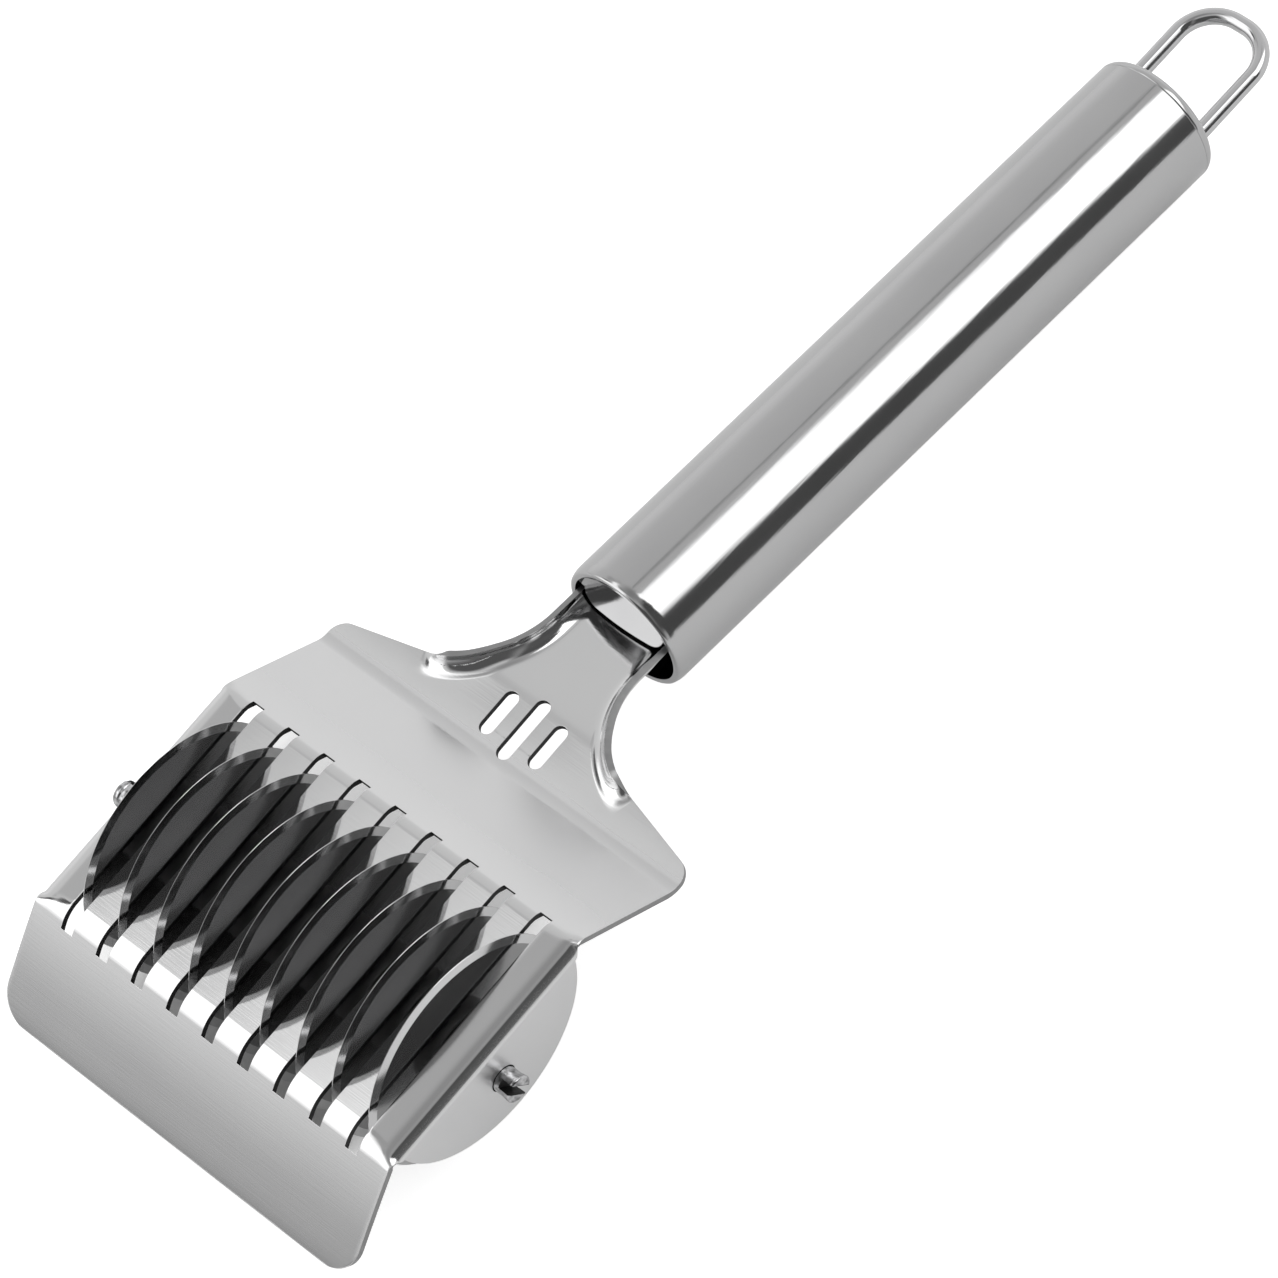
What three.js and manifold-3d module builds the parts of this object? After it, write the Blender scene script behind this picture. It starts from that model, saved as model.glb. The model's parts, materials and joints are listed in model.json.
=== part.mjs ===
// A rolling noodle cutter: a folded sheet head that carries nine round blades on one axle,
// and a tube handle with a wire loop to hang it by. Millimetres, +Z up, standing on the
// blades' rims and the handle's far end.
//
// Everything is laid out in the head's own frame first: X runs along the axle, Y towards the
// handle, and Z stands square on the slotted table, whose top face is z = 0 with the axle under
// y = 0. The whole is tipped at the end so that it lies as it does on a worktop.

import * as THREE from 'three';
import { mergeVertices } from 'three/addons/utils/BufferGeometryUtils.js';
import Module from 'manifold-3d';

const wasm = await Module();
wasm.setup();

// Driving dimensions: fits
const RUNNING_GAP = 0.3;
const CUT_OVERRUN = 4;

// Driving dimensions: blades, spacers and axle
const BLADE_COUNT = 9;
const BLADE_PITCH = 8.25;
const BLADE_RADIUS = 21.8;
const BLADE_THICKNESS = 0.7;
const BLADE_EDGE_THICKNESS = 0.1;
const BLADE_BEVEL_WIDTH = 1.6;
const BLADE_SET_SHIFT = 0.4;
const SPACER_RADIUS = 7.8;
const AXLE_RADIUS = 2.4;
const AXLE_DEPTH = 10.2;
const AXLE_LEFT_REACH = 6.5;
const AXLE_RIGHT_REACH = 3.5;
const AXLE_SPREAD = 0.15;
const AXLE_SPREAD_LENGTH = 1.6;
const AXLE_END_CHAMFER = 0.35;
const AXLE_SPLIT_WIDTH = 1;
const AXLE_SPLIT_DEPTH = 1.3;
const AXLE_SPLIT_ANGLE = THREE.MathUtils.degToRad(-32);

// Driving dimensions: handle and hanging loop
const TUBE_RADIUS = 12.5;
const TUBE_WALL = 1;
const TUBE_LENGTH = 131.9;
const MOUTH_ROLL_LENGTH = 2.2;
const MOUTH_ROLL_DEPTH = 0.45;
const MOUTH_WALL_SETBACK = 0.3;
const MOUTH_WALL_THICKNESS = 0.9;
const AXIS_BELOW_TONGUE = 0.1;
const CAP_LENGTH = 2;
const CAP_ROUNDING = CAP_LENGTH - RUNNING_GAP;
const CAP_WALL = 1.2;
const CAP_SPIGOT_WALL = 1;
const CAP_SPIGOT_LENGTH = 6;
const LOOP_WIRE_RADIUS = 1.5;
const LOOP_INSIDE_TUBE_EDGE = 4.2;
const LOOP_TIP_HALF_FLAT = 0.9;
const LOOP_HALF_WIDTH = TUBE_RADIUS - LOOP_INSIDE_TUBE_EDGE;
const LOOP_CORNER_RADIUS = LOOP_HALF_WIDTH - LOOP_TIP_HALF_FLAT;
const LOOP_REACH = 22;
const LOOP_ROOT_LENGTH = 5;
const LOOP_RISE = 0.2;
const LOOP_LIFT_ANGLE = THREE.MathUtils.degToRad(6.2);

// Driving dimensions: the ears that carry the axle
const EAR_BEYOND_LAST_SLOT = 8.2;
const EAR_HALF_SPAN = (BLADE_COUNT - 1) / 2 * BLADE_PITCH + EAR_BEYOND_LAST_SLOT;
const EAR_RADIUS = 21.35;
const EAR_CENTRE_ABOVE_TABLE = 1.6;
const EAR_BEND_RADIUS = 4;

// Driving dimensions: the folded sheet
const SHEET_THICKNESS = 1.2;
const GUARD_INSET = 0.2;
const RAMP_INSET = 0.8;
const TABLE_FRONT = 22.5;
const TABLE_BACK = 22.3;
const GUARD_LENGTH = 24;
const GUARD_ANGLE = THREE.MathUtils.degToRad(41.4);
const GUARD_HALF_WIDTH = EAR_HALF_SPAN - GUARD_INSET;
const GUARD_CORNER_RADIUS = 6;
const TAB_CORNER_RADIUS = 3;
const RAMP_DROP = 14.25;
const RAMP_ANGLE = THREE.MathUtils.degToRad(36.8);
const RAMP_HALF_WIDTH = EAR_HALF_SPAN - RAMP_INSET;
const LANDING_LENGTH = 12.9;
const GUARD_FOLD_RADIUS = 6.5;
const RAMP_FOLD_RADIUS = 3.4;
const LANDING_FOLD_RADIUS = 4;
const NECK_FOLD_RADIUS = 20;

// Driving dimensions: the neck and the tongue that enters the handle
const NECK_ANGLE = THREE.MathUtils.degToRad(10.3);
const NECK_LENGTH = 18.5;
const TONGUE_LENGTH = 22.9;
const TONGUE_PLAY = 1.1;
const TONGUE_HALF_WIDTH = TUBE_RADIUS - TUBE_WALL - TONGUE_PLAY;
const WAIST_RADIUS = 18;
const WAIST_CENTRE_FROM_LANDING = 25.6;
const SHOULDER_SLOPE = THREE.MathUtils.degToRad(14);
const SHOULDER_CORNER_RADIUS = 4;
const RIM_CURL_RADIUS = 3.2;
const RIM_CURL_ANGLE = THREE.MathUtils.degToRad(80);
const RIM_CURL_START_LENGTH = 5.5;

// Driving dimensions: the openings punched through the sheet
const SLOT_WIDTH = 2.6;
const SLOT_FRONT = 25;
const SLOT_BACK = 23.6;
const VENT_WIDTH = 2.8;
const VENT_SPACING = 5.6;
const LONG_VENT_LENGTH = 12.4;
const SHORT_VENT_LENGTH = 8.8;
const VENT_CENTRE_FROM_LANDING = 7;

// How finely round shapes are divided
const BLADE_SIDES = 48;
const SPACER_SIDES = 28;
const AXLE_SIDES = 24;
const TUBE_SIDES = 56;
const FOLD_STEPS = 5;
const CORNER_STEPS = 5;
const WAIST_STEPS = 18;
const RIM_STEPS = 5;
const LOOP_STEPS = 44;
const LOOP_SIDES = 10;
const HALF_TURN = Math.PI;
const QUARTER_TURN = Math.PI / 2;

// Booleans on closed meshes

function toSolid(geometry) {
  const bare = geometry.clone();
  bare.deleteAttribute('normal');
  bare.deleteAttribute('uv');
  const merged = mergeVertices(bare);
  return new wasm.Manifold(new wasm.Mesh({
    numProp: 3,
    vertProperties: merged.attributes.position.array,
    triVerts: new Uint32Array(merged.index.array),
  }));
}

function toGeometry(solid) {
  const mesh = solid.getMesh();
  const geometry = new THREE.BufferGeometry();
  geometry.setAttribute('position', new THREE.BufferAttribute(mesh.vertProperties, mesh.numProp));
  geometry.setIndex(new THREE.BufferAttribute(mesh.triVerts, 1));
  const faceted = geometry.toNonIndexed();
  faceted.computeVertexNormals();
  return faceted;
}

// Lofts and extrusions

const SIDE_PROFILE_AXES = new THREE.Matrix4().makeBasis(
  new THREE.Vector3(0, 1, 0), new THREE.Vector3(0, 0, 1), new THREE.Vector3(1, 0, 0));
const FRONT_PROFILE_AXES = new THREE.Matrix4().makeBasis(
  new THREE.Vector3(1, 0, 0), new THREE.Vector3(0, 0, 1), new THREE.Vector3(0, -1, 0));

// A profile drawn in (y, z), pushed along X from one side of the middle to the other.
function extrudeAcross(points, halfWidth) {
  const geometry = new THREE.ExtrudeGeometry(new THREE.Shape(points), {
    depth: 2 * halfWidth, bevelEnabled: false, steps: 1,
  });
  geometry.translate(0, 0, -halfWidth);
  return geometry.applyMatrix4(SIDE_PROFILE_AXES);
}

// A plan drawn in (x, y), pushed along Z between two heights.
function extrudeUp(shape, lowest, highest) {
  const geometry = new THREE.ExtrudeGeometry(shape, {
    depth: highest - lowest, bevelEnabled: false, steps: 1, curveSegments: CORNER_STEPS,
  });
  return geometry.translate(0, 0, lowest);
}

// A body turned about the X axis from a profile of (radius, place along the axis).
function turnAboutX(points, sides) {
  const closed = [...points, points[0]];
  return new THREE.LatheGeometry(closed.map(([r, along]) => new THREE.Vector2(r, along)), sides)
    .rotateZ(-QUARTER_TURN);
}

// The sheet's side profile: the top face followed from the guard's lower edge to the tongue's tip

const RAMP_LENGTH = RAMP_DROP / Math.sin(RAMP_ANGLE);
const FOLDS = [
  { length: GUARD_LENGTH, turn: -GUARD_ANGLE, radius: GUARD_FOLD_RADIUS },
  { length: TABLE_FRONT + TABLE_BACK, turn: -RAMP_ANGLE, radius: RAMP_FOLD_RADIUS },
  { length: RAMP_LENGTH, turn: RAMP_ANGLE, radius: LANDING_FOLD_RADIUS },
  { length: LANDING_LENGTH, turn: -NECK_ANGLE, radius: NECK_FOLD_RADIUS },
  { length: NECK_LENGTH + TONGUE_LENGTH, turn: 0, radius: 0 },
];

// Straight and curved runs of the top face, each with its start, direction and length.
function sheetRuns() {
  const runs = [];
  let heading = GUARD_ANGLE;
  let place = new THREE.Vector2(-TABLE_FRONT, 0)
    .sub(new THREE.Vector2(Math.cos(heading), Math.sin(heading)).multiplyScalar(GUARD_LENGTH));
  let used = 0;
  for (const { length, turn, radius } of FOLDS) {
    const setback = radius * Math.tan(Math.abs(turn) / 2);
    const straight = length - used - setback;
    runs.push({ start: place.clone(), heading, turn: 0, radius, length: straight });
    place = place.clone()
      .add(new THREE.Vector2(Math.cos(heading), Math.sin(heading)).multiplyScalar(straight));
    if (turn !== 0) {
      const run = { start: place.clone(), heading, turn, radius, length: radius * Math.abs(turn) };
      runs.push(run);
      place = pointOnRun(run, run.length, 0);
      heading += turn;
    }
    used = setback;
  }
  return runs;
}

// A point of a run, `along` from its start and `lift` above the top face.
function pointOnRun(run, along, lift) {
  const { start, heading, turn, radius } = run;
  if (turn === 0) {
    return new THREE.Vector2(
      start.x + Math.cos(heading) * along - Math.sin(heading) * lift,
      start.y + Math.sin(heading) * along + Math.cos(heading) * lift);
  }
  const side = Math.sign(turn);
  const angle = heading + side * along / radius;
  const reach = radius - side * lift;
  return new THREE.Vector2(
    start.x + side * (reach * Math.sin(angle) - radius * Math.sin(heading)),
    start.y - side * (reach * Math.cos(angle) - radius * Math.cos(heading)));
}

const SHEET_RUNS = sheetRuns();
const [LANDING_RUN, NECK_FOLD_RUN, TONGUE_RUN] = SHEET_RUNS.slice(-3);

// A point `past` the landing's fold line, counted along the sheet, and `lift` above its top face.
function sheetPoint(past, lift) {
  let along = past - LANDING_FOLD_RADIUS * Math.tan(RAMP_ANGLE / 2);
  for (const run of [LANDING_RUN, NECK_FOLD_RUN]) {
    if (along <= run.length) {
      return pointOnRun(run, along, lift);
    }
    along -= run.length;
  }
  return pointOnRun(TONGUE_RUN, along, lift);
}

// The whole profile as a closed outline in (y, z), top face out and lower face back.
function sheetOutline(runs) {
  const top = [];
  const under = [];
  for (const run of runs) {
    const steps = run.turn === 0 ? 1 : FOLD_STEPS;
    for (let i = 0; i < steps; i += 1) {
      top.push(pointOnRun(run, run.length * i / steps, 0));
      under.unshift(pointOnRun(run, run.length * i / steps, -SHEET_THICKNESS));
    }
  }
  const last = runs[runs.length - 1];
  top.push(pointOnRun(last, last.length, 0));
  under.unshift(pointOnRun(last, last.length, -SHEET_THICKNESS));
  return [...top, ...under];
}

// Where the sheet's plan outline runs: shoulders, waist curve and tongue, on the +X side

const WAIST_CENTRE = new THREE.Vector2(TONGUE_HALF_WIDTH + WAIST_RADIUS, WAIST_CENTRE_FROM_LANDING);
const CURL_WIDTH = (RIM_CURL_RADIUS + SHEET_THICKNESS) * Math.sin(RIM_CURL_ANGLE);
const LANDING_START = TABLE_BACK + RAMP_DROP / Math.tan(RAMP_ANGLE);
const TONGUE_TIP = LANDING_LENGTH + NECK_LENGTH + TONGUE_LENGTH;

// Stations along the edge, each with its place, its outward direction and its share of the curl.
function edgeStations() {
  const stations = [];
  const sweep = QUARTER_TURN - SHOULDER_SLOPE;
  const tangent = new THREE.Vector2(Math.cos(SHOULDER_SLOPE), -Math.sin(SHOULDER_SLOPE));
  for (let i = 0; i <= WAIST_STEPS; i += 1) {
    const angle = SHOULDER_SLOPE + sweep * i / WAIST_STEPS;
    const outward = new THREE.Vector2(Math.sin(angle), Math.cos(angle));
    const grown = Math.min(1, WAIST_RADIUS * (angle - SHOULDER_SLOPE) / RIM_CURL_START_LENGTH);
    stations.push({
      place: WAIST_CENTRE.clone().addScaledVector(outward, -WAIST_RADIUS),
      outward,
      curl_share: THREE.MathUtils.smoothstep(grown, 0, 1),
    });
  }
  const first = stations[0];
  stations.unshift({
    place: first.place.clone().addScaledVector(tangent, CURL_WIDTH / 2),
    outward: first.outward,
    curl_share: 0,
  });
  const last = stations[stations.length - 1];
  stations.push({ ...last, place: new THREE.Vector2(TONGUE_HALF_WIDTH, TONGUE_TIP) });
  return stations;
}

// The section of a rim at one station, as steps of (outwards from its inner line, lift): a
// blend from the flat sheet to the full curl.
function rimSection(curl_share, depth) {
  const reach = RIM_CURL_RADIUS + depth;
  const points = [];
  for (let i = 0; i <= RIM_STEPS; i += 1) {
    const angle = RIM_CURL_ANGLE * i / RIM_STEPS;
    const flat = new THREE.Vector2(CURL_WIDTH * i / RIM_STEPS, -depth);
    const curled = new THREE.Vector2(
      reach * Math.sin(angle), RIM_CURL_RADIUS - reach * Math.cos(angle));
    points.push(flat.lerp(curled, curl_share));
  }
  return points;
}

// A thick skin between two grids of points that match row by row and column by column.
function thickSkin(top, under) {
  const rows = top.length;
  const columns = top[0].length;
  const positions = [...top.flat(), ...under.flat()].flatMap((point) => point.toArray());
  const topAt = (row, column) => row * columns + column;
  const underAt = (row, column) => rows * columns + row * columns + column;
  const index = [];
  const quad = (a, b, c, d) => index.push(a, b, c, a, c, d);
  for (let row = 0; row < rows - 1; row += 1) {
    for (let column = 0; column < columns - 1; column += 1) {
      quad(topAt(row, column), topAt(row, column + 1),
        topAt(row + 1, column + 1), topAt(row + 1, column));
      quad(underAt(row, column), underAt(row + 1, column),
        underAt(row + 1, column + 1), underAt(row, column + 1));
    }
    quad(topAt(row, 0), topAt(row + 1, 0), underAt(row + 1, 0), underAt(row, 0));
    const end = columns - 1;
    quad(topAt(row, end), underAt(row, end), underAt(row + 1, end), topAt(row + 1, end));
  }
  for (let column = 0; column < columns - 1; column += 1) {
    const end = rows - 1;
    quad(topAt(0, column), underAt(0, column), underAt(0, column + 1), topAt(0, column + 1));
    quad(topAt(end, column), topAt(end, column + 1),
      underAt(end, column + 1), underAt(end, column));
  }
  const geometry = new THREE.BufferGeometry();
  geometry.setAttribute('position', new THREE.Float32BufferAttribute(positions, 3));
  geometry.setIndex(index);
  return geometry;
}

// The neck and tongue, with a rim curled up along each edge.
function neckGeometry() {
  const faces = { top: [], under: [] };
  for (const { place, outward, curl_share } of edgeStations()) {
    const inner = place.clone().addScaledVector(outward, -CURL_WIDTH);
    for (const [face, depth] of [['top', 0], ['under', SHEET_THICKNESS]]) {
      const right = rimSection(curl_share, depth).map(({ x: out, y: lift }) => {
        const { x: y, y: z } = sheetPoint(inner.y + outward.y * out, lift);
        return new THREE.Vector3(inner.x + outward.x * out, y, z);
      });
      const left = right.map(({ x, y, z }) => new THREE.Vector3(-x, y, z)).reverse();
      faces[face].push([...left, ...right]);
    }
  }
  return thickSkin(faces.top, faces.under);
}

// A rounded corner of the plan, from one direction's angle to the other's.
function roundCorner(x, y, radius, from, to) {
  const points = [];
  for (let i = 0; i <= CORNER_STEPS; i += 1) {
    const angle = from + (to - from) * i / CORNER_STEPS;
    points.push(new THREE.Vector2(x + radius * Math.cos(angle), y + radius * Math.sin(angle)));
  }
  return points;
}

// The plan of guard, table, ramp and shoulders, rounded at the guard's corners, beside the ears
// and at the shoulders.
function planShape() {
  const guardPoint = (x, down) => new THREE.Vector2(x, -TABLE_FRONT - down * Math.cos(GUARD_ANGLE));
  const earChord = Math.sqrt(EAR_RADIUS ** 2 - EAR_CENTRE_ABOVE_TABLE ** 2) + RUNNING_GAP;
  const earInner = EAR_HALF_SPAN - EAR_BEND_RADIUS;
  const right = [new THREE.Vector2(
    GUARD_HALF_WIDTH - GUARD_CORNER_RADIUS, guardPoint(0, GUARD_LENGTH).y - CUT_OVERRUN)];
  for (let i = 0; i <= CORNER_STEPS; i += 1) {
    const angle = QUARTER_TURN * i / CORNER_STEPS;
    right.push(guardPoint(
      GUARD_HALF_WIDTH - GUARD_CORNER_RADIUS * (1 - Math.sin(angle)),
      GUARD_LENGTH - GUARD_CORNER_RADIUS * (1 - Math.cos(angle))));
  }
  right.push(...roundCorner(
    GUARD_HALF_WIDTH - TAB_CORNER_RADIUS, -earChord - TAB_CORNER_RADIUS, TAB_CORNER_RADIUS,
    0, QUARTER_TURN));
  right.push(new THREE.Vector2(earInner, -earChord));
  right.push(new THREE.Vector2(earInner, earChord));
  right.push(...roundCorner(
    RAMP_HALF_WIDTH - TAB_CORNER_RADIUS, earChord + TAB_CORNER_RADIUS, TAB_CORNER_RADIUS,
    -QUARTER_TURN, 0));
  const start = edgeStations()[1];
  const waist = start.place.clone().setY(LANDING_START + start.place.y);
  const corner = new THREE.Vector2(
    RAMP_HALF_WIDTH, waist.y - (RAMP_HALF_WIDTH - waist.x) * Math.tan(SHOULDER_SLOPE));
  const half = (QUARTER_TURN - SHOULDER_SLOPE) / 2;
  const centre = new THREE.Vector2(
    RAMP_HALF_WIDTH - SHOULDER_CORNER_RADIUS,
    corner.y - SHOULDER_CORNER_RADIUS * Math.tan(half));
  right.push(...roundCorner(centre.x, centre.y, SHOULDER_CORNER_RADIUS, 0, 2 * half));
  right.push(waist);
  right.push(waist.clone().addScaledVector(start.outward, -CURL_WIDTH));
  const left = right.map(({ x, y }) => new THREE.Vector2(-x, y)).reverse();
  return new THREE.Shape([...right, ...left]);
}

// One ear on the +X side: folded down from the table and trimmed to a round tongue.
function earSolid() {
  const inner = EAR_HALF_SPAN - EAR_BEND_RADIUS;
  const lowest = EAR_CENTRE_ABOVE_TABLE - EAR_RADIUS - CUT_OVERRUN;
  const profile = new THREE.Shape();
  profile.moveTo(inner - EAR_BEND_RADIUS, 0);
  profile.lineTo(inner - EAR_BEND_RADIUS, -SHEET_THICKNESS);
  profile.lineTo(inner, -SHEET_THICKNESS);
  profile.absarc(inner, -EAR_BEND_RADIUS, EAR_BEND_RADIUS - SHEET_THICKNESS, QUARTER_TURN, 0, true);
  profile.lineTo(EAR_HALF_SPAN - SHEET_THICKNESS, lowest);
  profile.lineTo(EAR_HALF_SPAN, lowest);
  profile.absarc(inner, -EAR_BEND_RADIUS, EAR_BEND_RADIUS, 0, QUARTER_TURN, false);
  const strip = new THREE.ExtrudeGeometry(profile, {
    depth: 2 * EAR_RADIUS, bevelEnabled: false, steps: 1, curveSegments: CORNER_STEPS,
  });
  strip.translate(0, 0, -EAR_RADIUS).applyMatrix4(FRONT_PROFILE_AXES);
  const round = new THREE.CylinderGeometry(
    EAR_RADIUS, EAR_RADIUS, EAR_HALF_SPAN + CUT_OVERRUN, BLADE_SIDES);
  round.rotateZ(QUARTER_TURN)
    .translate((EAR_HALF_SPAN + CUT_OVERRUN) / 2, 0, EAR_CENTRE_ABOVE_TABLE);
  return toSolid(strip).intersect(toSolid(round));
}

// Slots for the blades, the three vents in the landing, and the axle's holes.
function punchedOpenings() {
  const cuts = [];
  for (let i = 0; i < BLADE_COUNT; i += 1) {
    const slot = new THREE.BoxGeometry(SLOT_WIDTH, SLOT_FRONT + SLOT_BACK, 2 * CUT_OVERRUN);
    cuts.push(slot.translate(slotPlace(i), (SLOT_BACK - SLOT_FRONT) / 2, 0));
  }
  for (const side of [-1, 0, 1]) {
    const length = side === 0 ? LONG_VENT_LENGTH : SHORT_VENT_LENGTH;
    const reach = (length - VENT_WIDTH) / 2;
    const shape = new THREE.Shape();
    shape.absarc(0, reach, VENT_WIDTH / 2, 0, HALF_TURN, false);
    shape.absarc(0, -reach, VENT_WIDTH / 2, HALF_TURN, 2 * HALF_TURN, false);
    const vent = extrudeUp(shape, -RAMP_DROP - CUT_OVERRUN, -RAMP_DROP + CUT_OVERRUN);
    cuts.push(vent.translate(side * VENT_SPACING, LANDING_START + VENT_CENTRE_FROM_LANDING, 0));
  }
  const bore = new THREE.CylinderGeometry(
    AXLE_RADIUS + RUNNING_GAP, AXLE_RADIUS + RUNNING_GAP,
    2 * (EAR_HALF_SPAN + CUT_OVERRUN), AXLE_SIDES);
  cuts.push(bore.rotateZ(QUARTER_TURN).translate(0, 0, -AXLE_DEPTH));
  return cuts.map(toSolid);
}

function slotPlace(i) {
  return (i - (BLADE_COUNT - 1) / 2) * BLADE_PITCH;
}

// The one-piece sheet head: guard, slotted table, ears, ramp, landing, neck and tongue.
function headPlateGeometry() {
  const profile = sheetOutline(SHEET_RUNS.slice(0, -2));
  const plan = extrudeUp(planShape(), -RAMP_DROP - GUARD_LENGTH, CUT_OVERRUN);
  const rightEar = earSolid();
  let head = toSolid(extrudeAcross(profile, EAR_HALF_SPAN)).intersect(toSolid(plan));
  head = head.add(rightEar).add(rightEar.rotate([0, 0, 180]));
  head = head.add(toSolid(neckGeometry()));
  for (const cut of punchedOpenings()) {
    head = head.subtract(cut);
  }
  return toGeometry(head);
}

// Blades, spacers and axle

function bladeGeometry() {
  const bore = AXLE_RADIUS + RUNNING_GAP;
  const flat = BLADE_RADIUS - BLADE_BEVEL_WIDTH;
  const face = BLADE_THICKNESS / 2;
  const edge = BLADE_EDGE_THICKNESS / 2;
  return turnAboutX([
    [bore, -face], [flat, -face], [BLADE_RADIUS, -edge],
    [BLADE_RADIUS, edge], [flat, face], [bore, face],
  ], BLADE_SIDES);
}

function spacerGeometry(length) {
  const bore = AXLE_RADIUS + RUNNING_GAP;
  return turnAboutX([
    [bore, -length / 2], [SPACER_RADIUS, -length / 2],
    [SPACER_RADIUS, length / 2], [bore, length / 2],
  ], SPACER_SIDES);
}

// The ring between an outer blade and its ear, chamfered on the ear's side where the ear's bend
// comes round it.
function endSpacerGeometry(length) {
  const bore = AXLE_RADIUS + RUNNING_GAP;
  const chamfer = Math.max(RUNNING_GAP, EAR_BEND_RADIUS - AXLE_DEPTH + SPACER_RADIUS);
  return turnAboutX([
    [bore, -length / 2], [SPACER_RADIUS, -length / 2],
    [SPACER_RADIUS, length / 2 - chamfer], [SPACER_RADIUS - chamfer, length / 2],
    [bore, length / 2],
  ], SPACER_SIDES);
}

// A plain rod whose ends are split with a chisel and spread, so that it can't slip out.
function axleGeometry() {
  const spread = AXLE_RADIUS + AXLE_SPREAD;
  const end = (tip) => [
    [AXLE_RADIUS, tip - AXLE_SPREAD_LENGTH],
    [spread, tip - AXLE_END_CHAMFER],
    [spread - AXLE_END_CHAMFER, tip],
    [0, tip],
  ];
  const leftTip = EAR_HALF_SPAN + AXLE_LEFT_REACH;
  const rightTip = EAR_HALF_SPAN + AXLE_RIGHT_REACH;
  const points = [...end(leftTip).map(([r, along]) => [r, -along]).reverse(), ...end(rightTip)];
  const rod = new THREE.LatheGeometry(points.map(([r, y]) => new THREE.Vector2(r, y)), AXLE_SIDES);
  let solid = toSolid(rod.rotateZ(-QUARTER_TURN));
  for (const tip of [-leftTip, rightTip]) {
    const split = new THREE.BoxGeometry(
      2 * AXLE_SPLIT_DEPTH, 2 * spread + CUT_OVERRUN, AXLE_SPLIT_WIDTH);
    split.rotateX(AXLE_SPLIT_ANGLE).translate(tip, 0, 0);
    solid = solid.subtract(toSolid(split));
  }
  return toGeometry(solid);
}

// Handle: the tube, its end cap and the hanging loop, along +Y from the mouth

function tubeGeometry() {
  const mouth = [];
  for (let i = 0; i <= CORNER_STEPS; i += 1) {
    const share = i / CORNER_STEPS;
    mouth.push([MOUTH_ROLL_DEPTH * (1 - share) ** 2, MOUTH_ROLL_LENGTH * share]);
  }
  const points = [
    ...mouth.map(([inset, along]) => [TUBE_RADIUS - inset, along]),
    [TUBE_RADIUS, TUBE_LENGTH],
    [TUBE_RADIUS - TUBE_WALL, TUBE_LENGTH],
    ...mouth.map(([inset, along]) => [TUBE_RADIUS - TUBE_WALL - inset, along]).reverse(),
  ];
  points.push(points[0]);
  const tube = new THREE.LatheGeometry(points.map(([r, y]) => new THREE.Vector2(r, y)), TUBE_SIDES);
  return toGeometry(toSolid(tube).add(mouthWall()));
}

// The wall that closes the mouth above the tongue, just behind the rolled edge. It keeps clear of
// the tongue's face and of its curled rims.
function mouthWall() {
  const radius = TUBE_RADIUS - MOUTH_ROLL_DEPTH - TUBE_WALL / 2;
  const disc = new THREE.CylinderGeometry(radius, radius, MOUTH_WALL_THICKNESS, TUBE_SIDES);
  disc.translate(0, MOUTH_WALL_SETBACK + MOUTH_WALL_THICKNESS / 2, 0);
  const curl = rimSection(1, -RUNNING_GAP).map(({ x: out, y: lift }) => new THREE.Vector2(
    TONGUE_HALF_WIDTH - CURL_WIDTH + out, AXIS_BELOW_TONGUE + lift));
  const beyond = curl[curl.length - 1].clone();
  beyond.y += RUNNING_GAP;
  const right = [...curl, beyond, new THREE.Vector2(TUBE_RADIUS, beyond.y),
    new THREE.Vector2(TUBE_RADIUS, -TUBE_RADIUS)];
  const left = right.map(({ x, y }) => new THREE.Vector2(-x, y)).reverse();
  const room = new THREE.ExtrudeGeometry(new THREE.Shape([...right, ...left]), {
    depth: 2 * CUT_OVERRUN, bevelEnabled: false, steps: 1,
  });
  room.translate(0, 0, -CUT_OVERRUN).applyMatrix4(FRONT_PROFILE_AXES);
  return toSolid(disc).subtract(toSolid(room));
}

function capGeometry() {
  const face = TUBE_LENGTH + CAP_LENGTH;
  const spigot = TUBE_RADIUS - TUBE_WALL - RUNNING_GAP;
  const spigotEnd = TUBE_LENGTH + RUNNING_GAP - CAP_SPIGOT_LENGTH;
  const points = [
    [0, face - CAP_WALL],
    [spigot - CAP_SPIGOT_WALL, face - CAP_WALL],
    [spigot - CAP_SPIGOT_WALL, spigotEnd],
    [spigot, spigotEnd],
    [spigot, face - CAP_ROUNDING],
  ];
  for (let i = 0; i <= CORNER_STEPS; i += 1) {
    const angle = QUARTER_TURN * i / CORNER_STEPS;
    points.push([
      TUBE_RADIUS - CAP_ROUNDING * (1 - Math.cos(angle)),
      face - CAP_ROUNDING * (1 - Math.sin(angle)),
    ]);
  }
  points.push([0, face]);
  const cap = new THREE.LatheGeometry(points.map(([r, y]) => new THREE.Vector2(r, y)), TUBE_SIDES);
  let solid = toSolid(cap);
  for (const side of [-1, 1]) {
    const hole = new THREE.CylinderGeometry(
      LOOP_WIRE_RADIUS + RUNNING_GAP, LOOP_WIRE_RADIUS + RUNNING_GAP, 2 * CAP_LENGTH, AXLE_SIDES);
    hole.translate(side * LOOP_HALF_WIDTH, 0, 0)
      .rotateX(LOOP_LIFT_ANGLE)
      .translate(0, face, LOOP_RISE);
    solid = solid.subtract(toSolid(hole));
  }
  return toGeometry(solid);
}

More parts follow.
